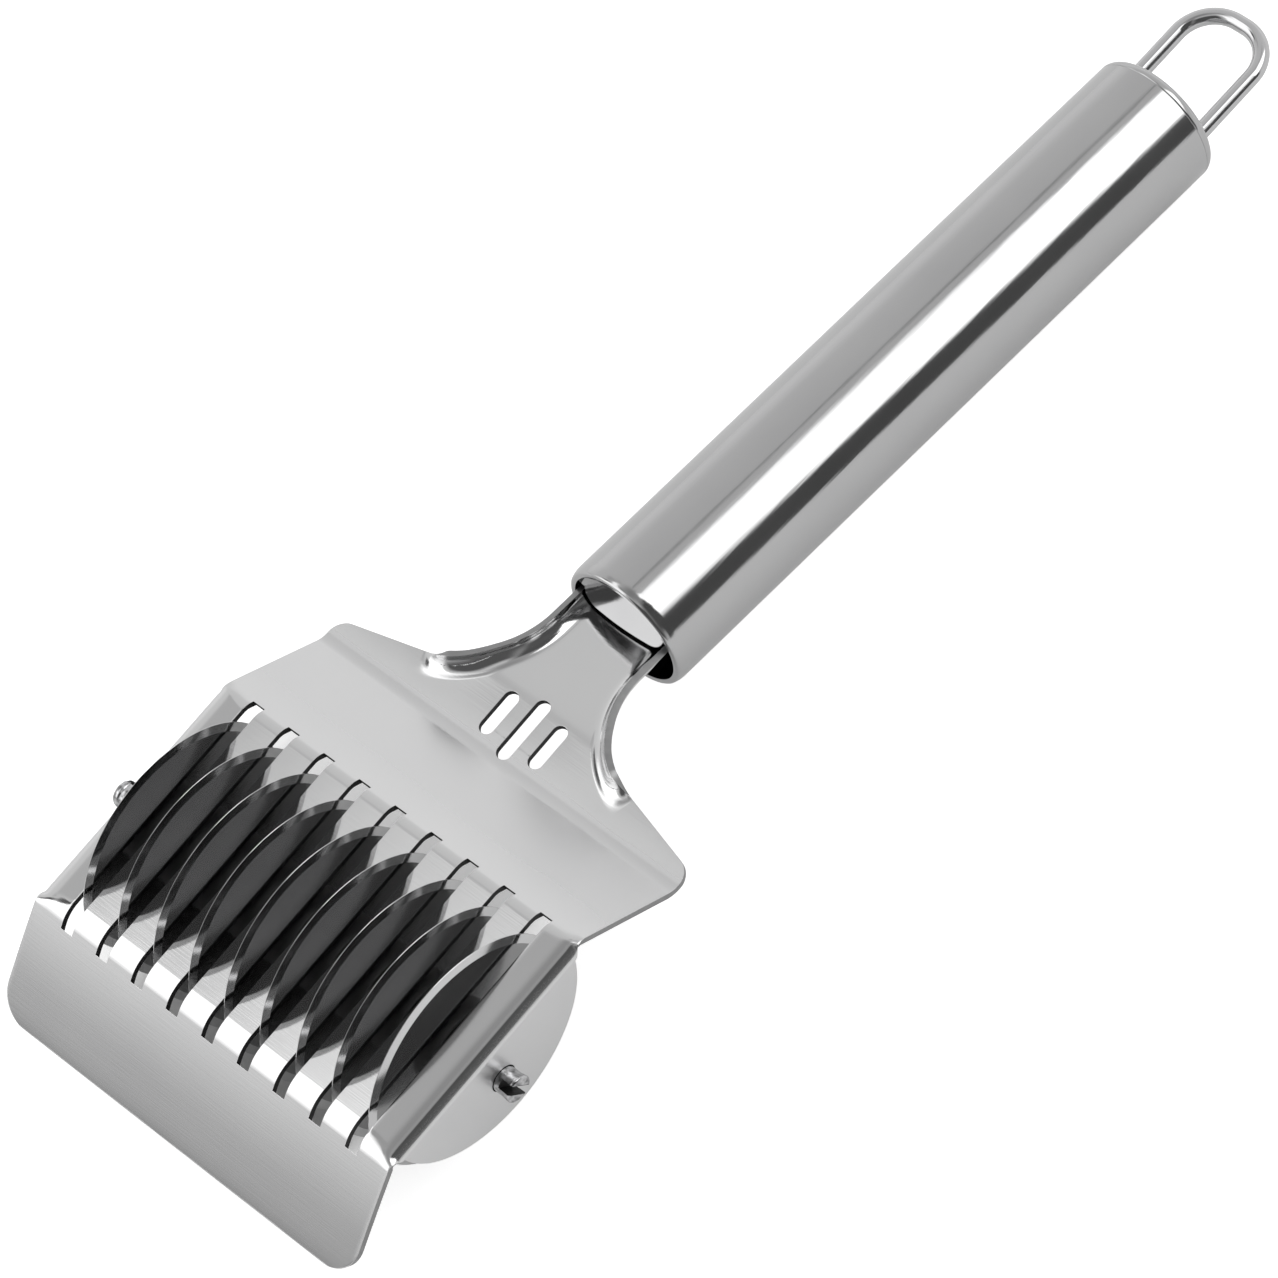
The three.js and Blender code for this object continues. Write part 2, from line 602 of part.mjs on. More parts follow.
// The wire's centre line: up one leg, round two corners and down the other leg.
class LoopPath extends THREE.Curve {
  getPoint(t) {
    const leg = LOOP_ROOT_LENGTH + LOOP_REACH - LOOP_CORNER_RADIUS;
    const corner = QUARTER_TURN * LOOP_CORNER_RADIUS;
    const bridge = LOOP_HALF_WIDTH - LOOP_CORNER_RADIUS;
    const half = leg + corner + bridge;
    const side = t < 0.5 ? -1 : 1;
    const along = half * (1 - Math.abs(2 * t - 1));
    const turned = THREE.MathUtils.clamp((along - leg) / LOOP_CORNER_RADIUS, 0, QUARTER_TURN);
    const past = Math.max(0, along - leg - corner);
    return new THREE.Vector3(
      side * (LOOP_HALF_WIDTH - LOOP_CORNER_RADIUS * (1 - Math.cos(turned)) - past),
      Math.min(along, leg) - LOOP_ROOT_LENGTH + LOOP_CORNER_RADIUS * Math.sin(turned),
      0);
  }
}

function loopGeometry() {
  const section = new THREE.Shape().absarc(0, 0, LOOP_WIRE_RADIUS, 0, 2 * HALF_TURN, false);
  return new THREE.ExtrudeGeometry(section, {
    steps: LOOP_STEPS, curveSegments: LOOP_SIDES / 2, bevelEnabled: false,
    extrudePath: new LoopPath(),
  });
}

// Materials

const polishedSheet = () => new THREE.MeshStandardMaterial({
  color: 0xc8c8c8, roughness: 0.18, metalness: 1,
});
const bladeSteel = () => new THREE.MeshStandardMaterial({
  color: 0x6e6e6e, roughness: 0.25, metalness: 1,
});
const blackPlastic = () => new THREE.MeshStandardMaterial({
  color: 0x242424, roughness: 0.45, metalness: 0,
});
const brushedTube = () => new THREE.MeshStandardMaterial({
  color: 0xb4b4b4, roughness: 0.28, metalness: 1,
});
const brightWire = () => new THREE.MeshStandardMaterial({
  color: 0xd2d2d2, roughness: 0.12, metalness: 1,
});

// Assembly

function named(name, geometry, material) {
  const mesh = new THREE.Mesh(geometry, material);
  mesh.name = name;
  return mesh;
}

// The blades sit a little to the left in their slots, and each is turned so that one flat of its
// rim lies on the worktop when the cutter is tipped.
function cutterStack(tilt) {
  const stack = new THREE.Group();
  const add = (mesh, x) => {
    mesh.position.set(x, 0, 0);
    stack.add(mesh);
  };
  add(named('axle', axleGeometry(), polishedSheet()), 0);
  const firstBlade = slotPlace(0) - BLADE_SET_SHIFT;
  const betweenLength = BLADE_PITCH - BLADE_THICKNESS - 2 * RUNNING_GAP;
  const endRoom = firstBlade - BLADE_THICKNESS / 2 + EAR_HALF_SPAN - SHEET_THICKNESS;
  const endLength = endRoom - 2 * RUNNING_GAP;
  const endOffset = (BLADE_THICKNESS + endLength) / 2 + RUNNING_GAP;
  const leftEnd = named('spacer_left_end', endSpacerGeometry(endLength), blackPlastic());
  leftEnd.rotation.z = HALF_TURN;
  add(leftEnd, firstBlade - endOffset);
  for (let i = 0; i < BLADE_COUNT; i += 1) {
    const x = firstBlade + i * BLADE_PITCH;
    const blade = named(`blade_${i + 1}`, bladeGeometry(), bladeSteel());
    blade.rotation.x = HALF_TURN / BLADE_SIDES - tilt;
    add(blade, x);
    if (i < BLADE_COUNT - 1) {
      const spacer = named(`spacer_${i + 1}`, spacerGeometry(betweenLength), blackPlastic());
      add(spacer, x + BLADE_PITCH / 2);
    } else {
      add(named('spacer_right_end', endSpacerGeometry(endLength), blackPlastic()), x + endOffset);
    }
  }
  stack.position.set(0, 0, -AXLE_DEPTH);
  return stack;
}

function handle() {
  const group = new THREE.Group();
  group.add(named('handle_tube', tubeGeometry(), brushedTube()));
  group.add(named('handle_end_cap', capGeometry(), brushedTube()));
  const loop = named('hanging_loop', loopGeometry(), brightWire());
  loop.position.set(0, TUBE_LENGTH + CAP_LENGTH, LOOP_RISE);
  loop.rotation.x = LOOP_LIFT_ANGLE;
  group.add(loop);
  const toMouth = NECK_LENGTH - NECK_FOLD_RADIUS * Math.tan(NECK_ANGLE / 2);
  const { x: y, y: z } = pointOnRun(TONGUE_RUN, toMouth, -AXIS_BELOW_TONGUE);
  group.position.set(0, y, z);
  group.rotation.x = -NECK_ANGLE;
  return group;
}

// How far the cutter tips forward when its blades and the cap's lower edge share one surface.
function restingTilt(handleGroup) {
  const rimFlat = BLADE_RADIUS * Math.cos(HALF_TURN / BLADE_SIDES);
  handleGroup.updateMatrix();
  const capEdge = new THREE.Vector3(0, TUBE_LENGTH + RUNNING_GAP, CAP_ROUNDING - TUBE_RADIUS)
    .applyMatrix4(handleGroup.matrix);
  const rise = capEdge.z + AXLE_DEPTH;
  return Math.asin((CAP_ROUNDING - rimFlat) / Math.hypot(capEdge.y, rise))
    - Math.atan2(rise, capEdge.y);
}

const cutter = new THREE.Group();
const tipped = new THREE.Group();
const handleGroup = handle();
const tilt = restingTilt(handleGroup);
const headPlate = named('head_plate', headPlateGeometry(), polishedSheet());
tipped.add(headPlate, cutterStack(tilt), handleGroup);
tipped.rotation.x = tilt;
cutter.add(tipped);
cutter.updateMatrixWorld(true);
const bounds = new THREE.Box3().setFromObject(cutter, true);
const middle = bounds.getCenter(new THREE.Vector3());
tipped.position.set(-middle.x, -middle.y, -bounds.min.z);

export default cutter;
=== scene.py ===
import json
import math

import bmesh
import bpy
from mathutils import Matrix, Vector


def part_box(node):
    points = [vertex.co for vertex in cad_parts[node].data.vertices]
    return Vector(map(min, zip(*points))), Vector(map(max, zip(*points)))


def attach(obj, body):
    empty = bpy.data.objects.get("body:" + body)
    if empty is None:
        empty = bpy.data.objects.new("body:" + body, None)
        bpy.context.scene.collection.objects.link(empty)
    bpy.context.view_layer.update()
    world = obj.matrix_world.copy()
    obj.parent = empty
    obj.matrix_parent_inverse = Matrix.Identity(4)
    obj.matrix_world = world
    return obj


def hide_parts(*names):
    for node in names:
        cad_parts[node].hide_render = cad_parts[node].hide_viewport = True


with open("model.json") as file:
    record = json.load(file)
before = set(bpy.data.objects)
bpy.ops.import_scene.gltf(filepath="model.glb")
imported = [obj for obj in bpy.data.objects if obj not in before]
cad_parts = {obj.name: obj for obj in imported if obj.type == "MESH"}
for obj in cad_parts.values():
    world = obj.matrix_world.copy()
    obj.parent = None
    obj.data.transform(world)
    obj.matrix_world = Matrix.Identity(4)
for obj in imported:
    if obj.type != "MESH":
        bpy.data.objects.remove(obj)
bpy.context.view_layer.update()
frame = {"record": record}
bpy.ops.object.select_all(action="DESELECT")
mm = 0.001

# Head plate
# One blank of polished stainless sheet, pressed: a guard folded down in front, two round ears folded
# down at the sides, a ramp and landing behind, and a neck whose rims are curled up for stiffness.
# The slots, vents and ear holes are punched. Lengths are taken with the table's top face level.
sheet = 1.2 * mm
table_half = 34.6 * mm
table_front = 22.5 * mm
table_back = 22.3 * mm
guard_half = 41.0 * mm
guard_length = 24.0 * mm
guard_turn = math.radians(41.4)
guard_fold = 6.5 * mm
guard_corner = 6.0 * mm
guard_bow = math.radians(3.0)
ramp_half = 40.4 * mm
ramp_length = 23.79 * mm
ramp_turn = math.radians(36.8)
ramp_fold = 3.4 * mm
ramp_rows = 2
ramp_row = 0.8 * mm
landing_fold = 4.0 * mm
landing_start = 41.35 * mm
landing_level = -14.25 * mm
shoulder = 45.41 * mm
shoulder_round = 2.7 * mm
waist_radius = 18.0 * mm
waist_centre = (28.4 * mm, 66.95 * mm)
waist_start = math.radians(14.0)
neck_fold = 20.0 * mm
neck_fold_line = 54.25 * mm
neck_turn = math.radians(10.3)
tongue_tip = 95.65 * mm
rim_curl = 3.2 * mm
rim_turn = math.radians(80.0)
rim_reach = (rim_curl + sheet) * math.sin(rim_turn)
rim_growth = 5.5 * mm
ear_radius = 21.35 * mm
ear_rise = 1.6 * mm
side_reach = 6.6 * mm
side_lean = math.radians(7.0)
side_rows = 16
side_row = 0.4 * mm
ear_face = table_half + side_reach
axle_depth = 10.2 * mm
pin_hole = 2.55 * mm

# where it stands: the frame gives the middle blade's axis and the way that the handle points
cap_mount = next(mount for mount in frame["record"]["mounts"] if mount["name"] == "end_cap_face")
handle_way = Vector(cap_mount["axis"])
handle_tip = math.asin(handle_way.z)
head_tip = handle_tip + neck_turn
blade_middle = sum(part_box("blade_5"), Vector()) / 2
axle_place = Vector((cap_mount["pos_m"][0], blade_middle.y, blade_middle.z))
head_place = axle_place - Matrix.Rotation(head_tip, 3, "X") @ Vector((0, 0, -axle_depth))

# how near a point has to be to count as on a line
near = 0.1 * mm
nearest = 0.01 * mm


def eased_bend(turn, share, reach):
    """How far out and down a side has come: it leans at first, then bends ever tighter to its turn."""
    parts = 48
    straight = 18.5
    lean = side_lean / (math.pi / 2)
    turns = []
    for i in range(parts):
        bent = max((i - straight) / (parts - 0.5 - straight), 0)
        turns.append(turn * (lean + (1 - lean) * bent**2))
    length = reach / sum(math.cos(part) for part in turns)
    turns = turns[: round(parts * share)]
    return length * sum(math.cos(part) for part in turns), length * sum(math.sin(part) for part in turns)


def choose(piece, *others):
    """Makes one piece the active one and selects it, with any others."""
    bpy.ops.object.select_all(action="DESELECT")
    for chosen in (piece, *others):
        chosen.select_set(True)
    bpy.context.view_layer.objects.active = piece


def edit(piece):
    """Opens one piece for editing, with nothing of it selected."""
    choose(piece)
    bpy.ops.object.mode_set(mode="EDIT")
    bpy.ops.mesh.select_mode(type="VERT")
    bpy.ops.mesh.select_all(action="DESELECT")


# the table between its folds
ear_drop = eased_bend(math.pi / 2, 1, side_reach)[1]
ear_chord = math.sqrt(ear_radius**2 - (ear_rise + ear_drop) ** 2)
guard_setback = guard_fold * math.tan(guard_turn / 2)
ramp_setback = ramp_fold * math.tan(ramp_turn / 2)
landing_setback = landing_fold * math.tan(ramp_turn / 2)
flat_front = -(table_front - guard_setback)
flat_back = table_back - ramp_setback
bpy.ops.mesh.primitive_plane_add(size=1)
plate = bpy.context.object
plate.name = "pressed_head_plate"
plate.scale = (2 * table_half, ear_chord - flat_front, 1)
plate.location = (0, (ear_chord + flat_front) / 2, 0)
bpy.ops.object.transform_apply(location=True, rotation=True, scale=True)
edit(plate)


def pick(piece, kind, wanted):
    """Selects the vertices, edges or faces whose middle passes a test."""
    bpy.ops.mesh.select_mode(type=kind)
    bpy.ops.mesh.select_all(action="DESELECT")
    skin = bmesh.from_edit_mesh(piece.data)
    for part in {"VERT": skin.verts, "EDGE": skin.edges, "FACE": skin.faces}[kind]:
        corners = [part] if kind == "VERT" else list(part.verts)
        if wanted(sum((corner.co for corner in corners), Vector()) / len(corners)):
            part.select_set(True)
    skin.select_flush_mode()
    bmesh.update_edit_mesh(piece.data)


def extrude(way):
    """Draws what is selected out along a way."""
    bpy.ops.mesh.extrude_region_move(TRANSFORM_OT_translate={"value": way})


def fold(steps, turn, centre):
    """Sweeps what is selected round a line that runs from side to side."""
    bpy.ops.mesh.spin(steps=steps, angle=turn, center=centre, axis=(1, 0, 0))


# the two round folds before and behind it, with a row where the ears end
pick(plate, "EDGE", lambda at: at.y < flat_front + near)
first_turn = math.asin((ear_chord + flat_front) / guard_fold)
last_turn = guard_turn - guard_bow / 2
guard_centre = (0, flat_front, -guard_fold)
fold(1, -first_turn, guard_centre)
fold(12, first_turn - last_turn, guard_centre)
guard_start = flat_front - guard_fold * math.sin(last_turn)
pick(plate, "EDGE", lambda at: at.y > ear_chord - near)
extrude((0, flat_back - ear_chord, 0))
fold(8, ramp_turn, (0, flat_back, -ramp_fold))
ramp_way = Vector((0, math.cos(ramp_turn), -math.sin(ramp_turn)))
for row in range(ramp_rows):
    extrude(ramp_way * ramp_row)
ramp_start = flat_back + ramp_fold * math.sin(ramp_turn) + ramp_rows * ramp_row * ramp_way.y

# the sides: strips beside the table, bent down to the ears and fading out into the folds
for side in (-1, 1):
    pick(plate, "EDGE", lambda at: at.x * side > table_half - near)
    for row in range(side_rows):
        extrude((side * side_row, 0, 0))


def shape(piece, moved):
    """Moves each vertex of a piece in edit mode to where the function says."""
    skin = bmesh.from_edit_mesh(piece.data)
    for corner in skin.verts:
        corner.co = moved(corner.co.copy())
    bmesh.update_edit_mesh(piece.data)


def bent_side(at):
    """Bends a point of the strips beside the table down, most between the ears' ends."""
    share = (abs(at.x) - table_half) / (side_rows * side_row)
    if share < 0.01:
        return at
    front = at.y < 0
    width = (guard_half if front else ramp_half) - table_half
    past = (abs(at.y) - ear_chord) / ((-guard_start if front else ramp_start) - ear_chord)
    past = min(max(past, 0), 1)
    fade = 1 - past * past * (3 - 2 * past)
    out, drop = eased_bend(math.pi / 2 * fade, share, width + (side_reach - width) * fade)
    on_fold = (at.y - flat_front) / guard_fold if front else max(at.y - flat_back, 0) / ramp_fold
    lean = Vector((0, min(on_fold, 0.75) * (1 - fade), 1)).normalized()
    level = Vector((math.copysign(table_half + out, at.x), at.y, at.z * (1 - share * fade)))
    return level - lean * drop


shape(plate, bent_side)

# the guard, slightly bowed, with its lower corners rounded
pick(plate, "EDGE", lambda at: at.y < guard_start + nearest)
guard_way = Vector((0, -math.cos(guard_turn), -math.sin(guard_turn)))
guard_run = guard_length - guard_setback
guard_hinge = Vector((0, guard_start, -guard_fold * (1 - math.cos(last_turn))))
bow_radius = guard_run / guard_bow
bow_centre = guard_hinge + Vector((0, math.sin(last_turn), -math.cos(last_turn))) * bow_radius
corner_share = guard_corner / guard_run
fold(6, -guard_bow * (1 - corner_share), bow_centre)
fold(14, -guard_bow * corner_share, bow_centre)


def round_corner(at):
    """Takes the guard's last rows in along a quarter circle."""
    share = ((at - guard_hinge).dot(guard_way) - guard_run + guard_corner) / guard_corner
    if share < 0.01 or at.y > guard_start:
        return at
    swing = min(share, 1) * math.pi / 2
    inset = guard_corner * (1 - math.cos(swing))
    moved = at + guard_way * guard_corner * (math.sin(swing) - share)
    return Vector((at.x * (1 - inset / guard_half), moved.y, moved.z))


shape(plate, round_corner)

# the ramp, one flat, and the landing's first fold
pick(plate, "EDGE", lambda at: at.y > ramp_start - nearest)
ramp_run = ramp_way * (ramp_length - ramp_setback - landing_setback - ramp_rows * ramp_row)
extrude(ramp_run)
ramp_middle = ramp_start + ramp_run.y / 2
pick(plate, "EDGE", lambda at: abs(at.y - ramp_middle) < ramp_row and abs(at.x) < ramp_half - near)
bpy.ops.mesh.dissolve_edges(use_verts=True)
pick(plate, "EDGE", lambda at: at.y > ramp_start + ramp_run.y - near)
landing_front = landing_start + landing_setback
fold(7, -ramp_turn, (0, landing_front, landing_level + landing_fold))
bpy.ops.object.mode_set(mode="OBJECT")


def along_neck(across, along, rise):
    """Where a point of the level landing goes once the neck is folded down."""
    start = neck_fold_line - neck_fold * math.tan(neck_turn / 2)
    turn = min(max((along - start) / neck_fold, 0), neck_turn)
    rest = max(along - start - neck_fold * neck_turn, 0) + min(along - start, 0)
    y = start + (neck_fold + rise) * math.sin(turn) + rest * math.cos(turn)
    z = landing_level - neck_fold + (neck_fold + rise) * math.cos(turn) - rest * math.sin(turn)
    return Vector((across, y, z))


def neck_rows():
    """One row of (across, along, rise) per place down the neck, from one rim's edge to the other's."""
    waist_steps = 44
    tongue_steps = 12
    rim_steps = 8
    waist_turn = math.pi / 2 - waist_start
    places = [(waist_start + waist_turn * i / waist_steps, 0) for i in range(waist_steps + 1)]
    for i in range(1, tongue_steps + 1):
        places.append((math.pi / 2, (tongue_tip - waist_centre[1]) * i / tongue_steps))
    for turn, beyond in places:
        grown = min(waist_radius * (turn - waist_start) / rim_growth, 1)
        share = grown**2 * (3 - 2 * grown)
        inner = waist_centre[0] - (waist_radius + rim_reach) * math.sin(turn)
        start = waist_centre[1] - (waist_radius + rim_reach) * math.cos(turn) + beyond
        half = []
        for i in range(rim_steps + 1):
            curl = rim_turn * i / rim_steps
            out = (1 - share) * rim_reach * i / rim_steps + share * rim_curl * math.sin(curl)
            rise = share * rim_curl * (1 - math.cos(curl))
            half.append((inner + out * math.sin(turn), start + out * math.cos(turn), rise))
        yield [(-x, y, z) for x, y, z in reversed(half)] + half


# the waisted neck and the tongue inside the handle, a grid laid out row by row
rows = list(neck_rows())
last_row = len(rows) - 1
last_point = len(rows[0]) - 1
bpy.ops.mesh.primitive_grid_add(x_subdivisions=last_point, y_subdivisions=last_row, size=2)
neck = bpy.context.object
edit(neck)


def on_neck(at):
    """Takes a corner of the two-metre grid to its row and point of the neck."""
    row = rows[round((at.y + 1) / 2 * last_row)]
    return along_neck(*row[round((at.x + 1) / 2 * last_point)])


def join(keep, *others):
    choose(keep, *others)
    bpy.ops.object.join()


shape(neck, on_neck)
bpy.ops.object.mode_set(mode="OBJECT")
join(plate, neck)

# the landing: its sides and sloping shoulders, filled as one flat, with rounded corners
edit(plate)
waist_line = rows[0][0][1]
for side in (-1, 1):
    landing_corner = Vector((side * ramp_half, landing_front, landing_level))
    pick(plate, "VERT", lambda at: (at - landing_corner).length < 2 * nearest)
    extrude((0, shoulder - landing_front, 0))
    extrude((-side * (ramp_half - rows[0][-1][0]), waist_line - shoulder, 0))
bpy.ops.mesh.select_all(action="SELECT")
bpy.ops.mesh.remove_doubles(threshold=nearest)


def pick_seams(piece, wanted):
    """Selects the edges that pass a test on the edge itself."""
    bpy.ops.mesh.select_mode(type="EDGE")
    bpy.ops.mesh.select_all(action="DESELECT")
    for seam in bmesh.from_edit_mesh(piece.data).edges:
        if wanted(seam):
            seam.select_set(True)
    bmesh.update_edit_mesh(piece.data)


def round_landing(seam):
    """Tells the landing's open edges, but for the fold's own one, which the fill closes."""
    ends = [corner.co for corner in seam.verts]
    level = all(abs(at.z - landing_level) < 2 * nearest for at in ends)
    inside = all(landing_front - 2 * nearest < at.y < waist_line + 2 * nearest for at in ends)
    whole_width = all(abs(abs(at.x) - ramp_half) < nearest for at in ends) and ends[0].y == ends[1].y
    return level and inside and len(seam.link_faces) < 2 and not whole_width


pick_seams(plate, round_landing)
bpy.ops.mesh.edge_face_add()
pick(plate, "VERT", lambda at: abs(at.y - shoulder) < nearest and abs(at.x) > ramp_half - nearest)
bpy.ops.mesh.bevel(offset=shoulder_round, segments=12, profile=0.5, affect="VERTICES")

# the ears: a round flat below each bend
ear_sweep = math.pi - 2 * math.asin((ear_drop + ear_rise) / ear_radius)
for side in (-1, 1):
    ear_end = Vector((side * ear_face, -ear_chord, -ear_drop))
    pick(plate, "VERT", lambda at: (at - ear_end).length < nearest)
    fold(72, -ear_sweep, (side * ear_face, 0, ear_rise))
bpy.ops.mesh.select_all(action="SELECT")
bpy.ops.mesh.remove_doubles(threshold=nearest)
for side in (-1, 1):
    pick_seams(plate, lambda seam: all(abs(end.co.x - side * ear_face) < nearest for end in seam.verts))
    bpy.ops.mesh.edge_face_add()
doubled = 0.002 * mm


def finish_edit():
    """Merges what lies doubled, turns the faces outwards and closes the piece again."""
    bpy.ops.mesh.select_all(action="SELECT")
    bpy.ops.mesh.remove_doubles(threshold=doubled)
    bpy.ops.mesh.normals_make_consistent(inside=False)
    bpy.ops.object.mode_set(mode="OBJECT")


# the open sheet's faces point up, so that its thickness goes down
finish_edit()
edit(plate)
faces = bmesh.from_edit_mesh(plate.data).faces
if max(faces, key=lambda face: face.calc_area() * (abs(face.normal.z) > 0.99)).normal.z < 0:
    bpy.ops.mesh.select_all(action="SELECT")
    bpy.ops.mesh.flip_normals()
bpy.ops.object.mode_set(mode="OBJECT")
relief_depth = 0.2 * mm


def add_node(tree, kind, inputs, **settings):
    """Adds a node with its settings, and gives each input its value or its link."""
    node = tree.nodes.new(kind)
    for setting, value in settings.items():
        setattr(node, setting, value)
    for socket, value in inputs.items():
        if isinstance(value, bpy.types.NodeSocket):
            tree.links.new(value, node.inputs[socket])
        else:
            node.inputs[socket].default_value = value
    return node


class Finish:
    """The finish of one or more pieces: patterns, each led to the surface's colour, gloss or relief."""

    def __init__(self, name, **sockets):
        self.material = bpy.data.materials.new(name)
        self.material.use_nodes = True
        self.tree = self.material.node_tree
        self.shader = self.tree.nodes["Principled BSDF"]
        for socket, value in sockets.items():
            self.shader.inputs[socket.replace("_", " ")].default_value = value

    def add(self, kind, inputs, **settings):
        return add_node(self.tree, kind, inputs, **settings)

    def on(self, stretch=(1, 1, 1), middle=(0, 0, 0)):
        """The place on the piece, measured from a middle and stretched."""
        place = self.add("ShaderNodeTexCoord", {}).outputs["Object"]
        back = tuple(-at * size for at, size in zip(middle, stretch))
        return self.add("ShaderNodeMapping", {"Vector": place, "Scale": stretch, "Location": back}).outputs[0]

    def noise(self, scale, detail=2.0, stretch=(1, 1, 1)):
        """Clouds from 0 to 1, finer with a larger scale or stretch."""
        inputs = {"Vector": self.on(stretch), "Scale": scale, "Detail": detail}
        return self.add("ShaderNodeTexNoise", inputs).outputs["Fac"]

    def maths(self, operation, first, second=0.0):
        return self.add("ShaderNodeMath", {0: first, 1: second}, operation=operation).outputs[0]

    def ramp(self, value, start, end, low=0.0, high=1.0, **settings):
        """Goes from low to high while a value goes from start to end."""
        inputs = {"Value": value, "From Min": start, "From Max": end, "To Min": low, "To Max": high}
        return self.add("ShaderNodeMapRange", inputs, **settings).outputs["Result"]

    def to(self, socket, value):
        self.tree.links.new(value, self.shader.inputs[socket])

    def roughen(self, pattern, low, high):
        self.to("Roughness", self.ramp(pattern, 0.0, 1.0, low, high))

    def tint(self, pattern, first, second):
        """Colours the surface from a first to a second tone by a pattern."""
        inputs = {"Factor": pattern, 6: (*first, 1), 7: (*second, 1)}
        self.to("Base Color", self.add("ShaderNodeMix", inputs, data_type="RGBA").outputs[2])

    def relief(self, pattern, strength):
        """Lets the surface rise and sink with a pattern."""
        inputs = {"Height": pattern, "Strength": strength, "Distance": relief_depth}
        self.to("Normal", self.add("ShaderNodeBump", inputs).outputs["Normal"])


# polished sheet: nearly a mirror, with a faint bloom and fine polishing lines, duller on the ears'
# scuffed outer faces and from the ramp to the neck's rims, where the press drew it
ramp_dull = (-75 * mm, -66 * mm)
neck_dull = (-52 * mm, -46 * mm)
polished = Finish("polished_sheet_steel", Metallic=1.0)
bloom = polished.noise(45.0, detail=4.0)
beside = polished.add("ShaderNodeSeparateXYZ", {0: polished.on(middle=(head_place.x, 0, 0))}).outputs["X"]
behind = polished.add("ShaderNodeSeparateXYZ", {0: polished.on()}).outputs["Y"]
scuffed = polished.ramp(polished.maths("ABSOLUTE", beside), ear_face - sheet, ear_face, high=0.24)
dulled = polished.ramp(behind, *ramp_dull, high=0.2)
bright_again = polished.ramp(behind, *neck_dull, high=0.2)
pressed = polished.maths("SUBTRACT", dulled, bright_again)
polishing = polished.ramp(bloom, 0.0, 1.0, 0.05, 0.13)
polished.to("Roughness", polished.maths("ADD", polished.maths("ADD", polishing, scuffed), pressed))
polished.tint(bloom, (0.70, 0.70, 0.705), (0.76, 0.76, 0.76))
polished.relief(polished.noise(4.0, detail=3.0, stretch=(30, 1200, 1200)), 0.02)

# the sheet's trimmed outer edges: rubbed down, greyer and duller than its faces
trimmed = Finish("trimmed_sheet_edge", Metallic=1.0)
rubbed = trimmed.noise(700.0, detail=3.0)
trimmed.roughen(rubbed, 0.3, 0.45)
trimmed.tint(rubbed, (0.26, 0.26, 0.263), (0.36, 0.36, 0.36))
plate.data.materials.append(polished.material)
plate.data.materials.append(trimmed.material)


def apply_modifier(piece, kind, **settings):
    """Adds a modifier with its settings and applies it at once."""
    choose(piece)
    modifier = piece.modifiers.new(kind.title(), kind)
    for setting, value in settings.items():
        setattr(modifier, setting, value)
    bpy.ops.object.modifier_apply(modifier=modifier.name)


# the sheet's thickness, downwards from its top face
apply_modifier(
    plate, "SOLIDIFY", thickness=sheet, offset=-1, use_quality_normals=True, material_offset_rim=1
)
bpy.ops.object.mode_set(mode="EDIT")
finish_edit()

# the punched edges and the pin's splits: torn and dull, their near-black colour painted shade for the dark
# inside the cuts
punched_edge_shade = Finish("sheared_edge_painted_shade", Metallic=1.0)
torn = punched_edge_shade.noise(2500.0, detail=3.0, stretch=(1, 1, 0.2))
punched_edge_shade.roughen(torn, 0.45, 0.65)
punched_edge_shade.tint(torn, (0.03, 0.03, 0.03), (0.07, 0.07, 0.07))
punched_edge_shade.relief(torn, 0.2)


def block(low, high):
    """A box between two corners."""
    low = Vector(low)
    high = Vector(high)
    bpy.ops.mesh.primitive_cube_add(size=1, location=(low + high) / 2)
    box = bpy.context.object
    box.scale = high - low
    bpy.ops.object.transform_apply(location=True, rotation=True, scale=True)
    return box


def cut(piece, *cutters, materials="INDEX"):
    """Takes the cutters out of a piece. The cut faces can take over the cutters' material."""
    tool = cutters[0]
    if len(cutters) > 1:
        join(*cutters)
    apply_modifier(
        piece, "BOOLEAN", operation="DIFFERENCE", object=tool, solver="EXACT", material_mode=materials
    )
    bpy.data.objects.remove(tool)


def break_edges(piece, width, degrees):
    """Bevels the edges that are sharper than that."""
    apply_modifier(
        piece,
        "BEVEL",
        width=width,
        segments=2,
        limit_method="ANGLE",
        angle_limit=math.radians(degrees),
        use_clamp_overlap=False,
    )


def smooth(piece, degrees):
    """Smooth shading but for the edges sharper than that, with flats kept flat."""
    choose(piece)
    bpy.ops.object.shade_smooth_by_angle(angle=math.radians(degrees))
    apply_modifier(piece, "WEIGHTED_NORMAL", keep_sharp=True, weight=80)


def put(piece, turned, place):
    """Turns a piece about the origin, puts it at its place and keeps that in its mesh."""
    choose(piece)
    piece.matrix_world = Matrix.Translation(place) @ turned.to_4x4()
    bpy.ops.object.transform_apply(location=True, rotation=True, scale=True)


# punched: nine slots from the table down into the guard
blade_pitch = 8.25 * mm
slot_half = 1.3 * mm
slot_front = 25 * mm
slot_back = 23.6 * mm
slot_below = 8 * mm
slot_above = 3 * mm
punched_round = 0.07 * mm
cutters = []
for i in range(9):
    beside = (i - 4) * blade_pitch
    lowest = (beside - slot_half, -slot_front, -slot_below)
    cutters.append(block(lowest, (beside + slot_half, slot_back, slot_above)))

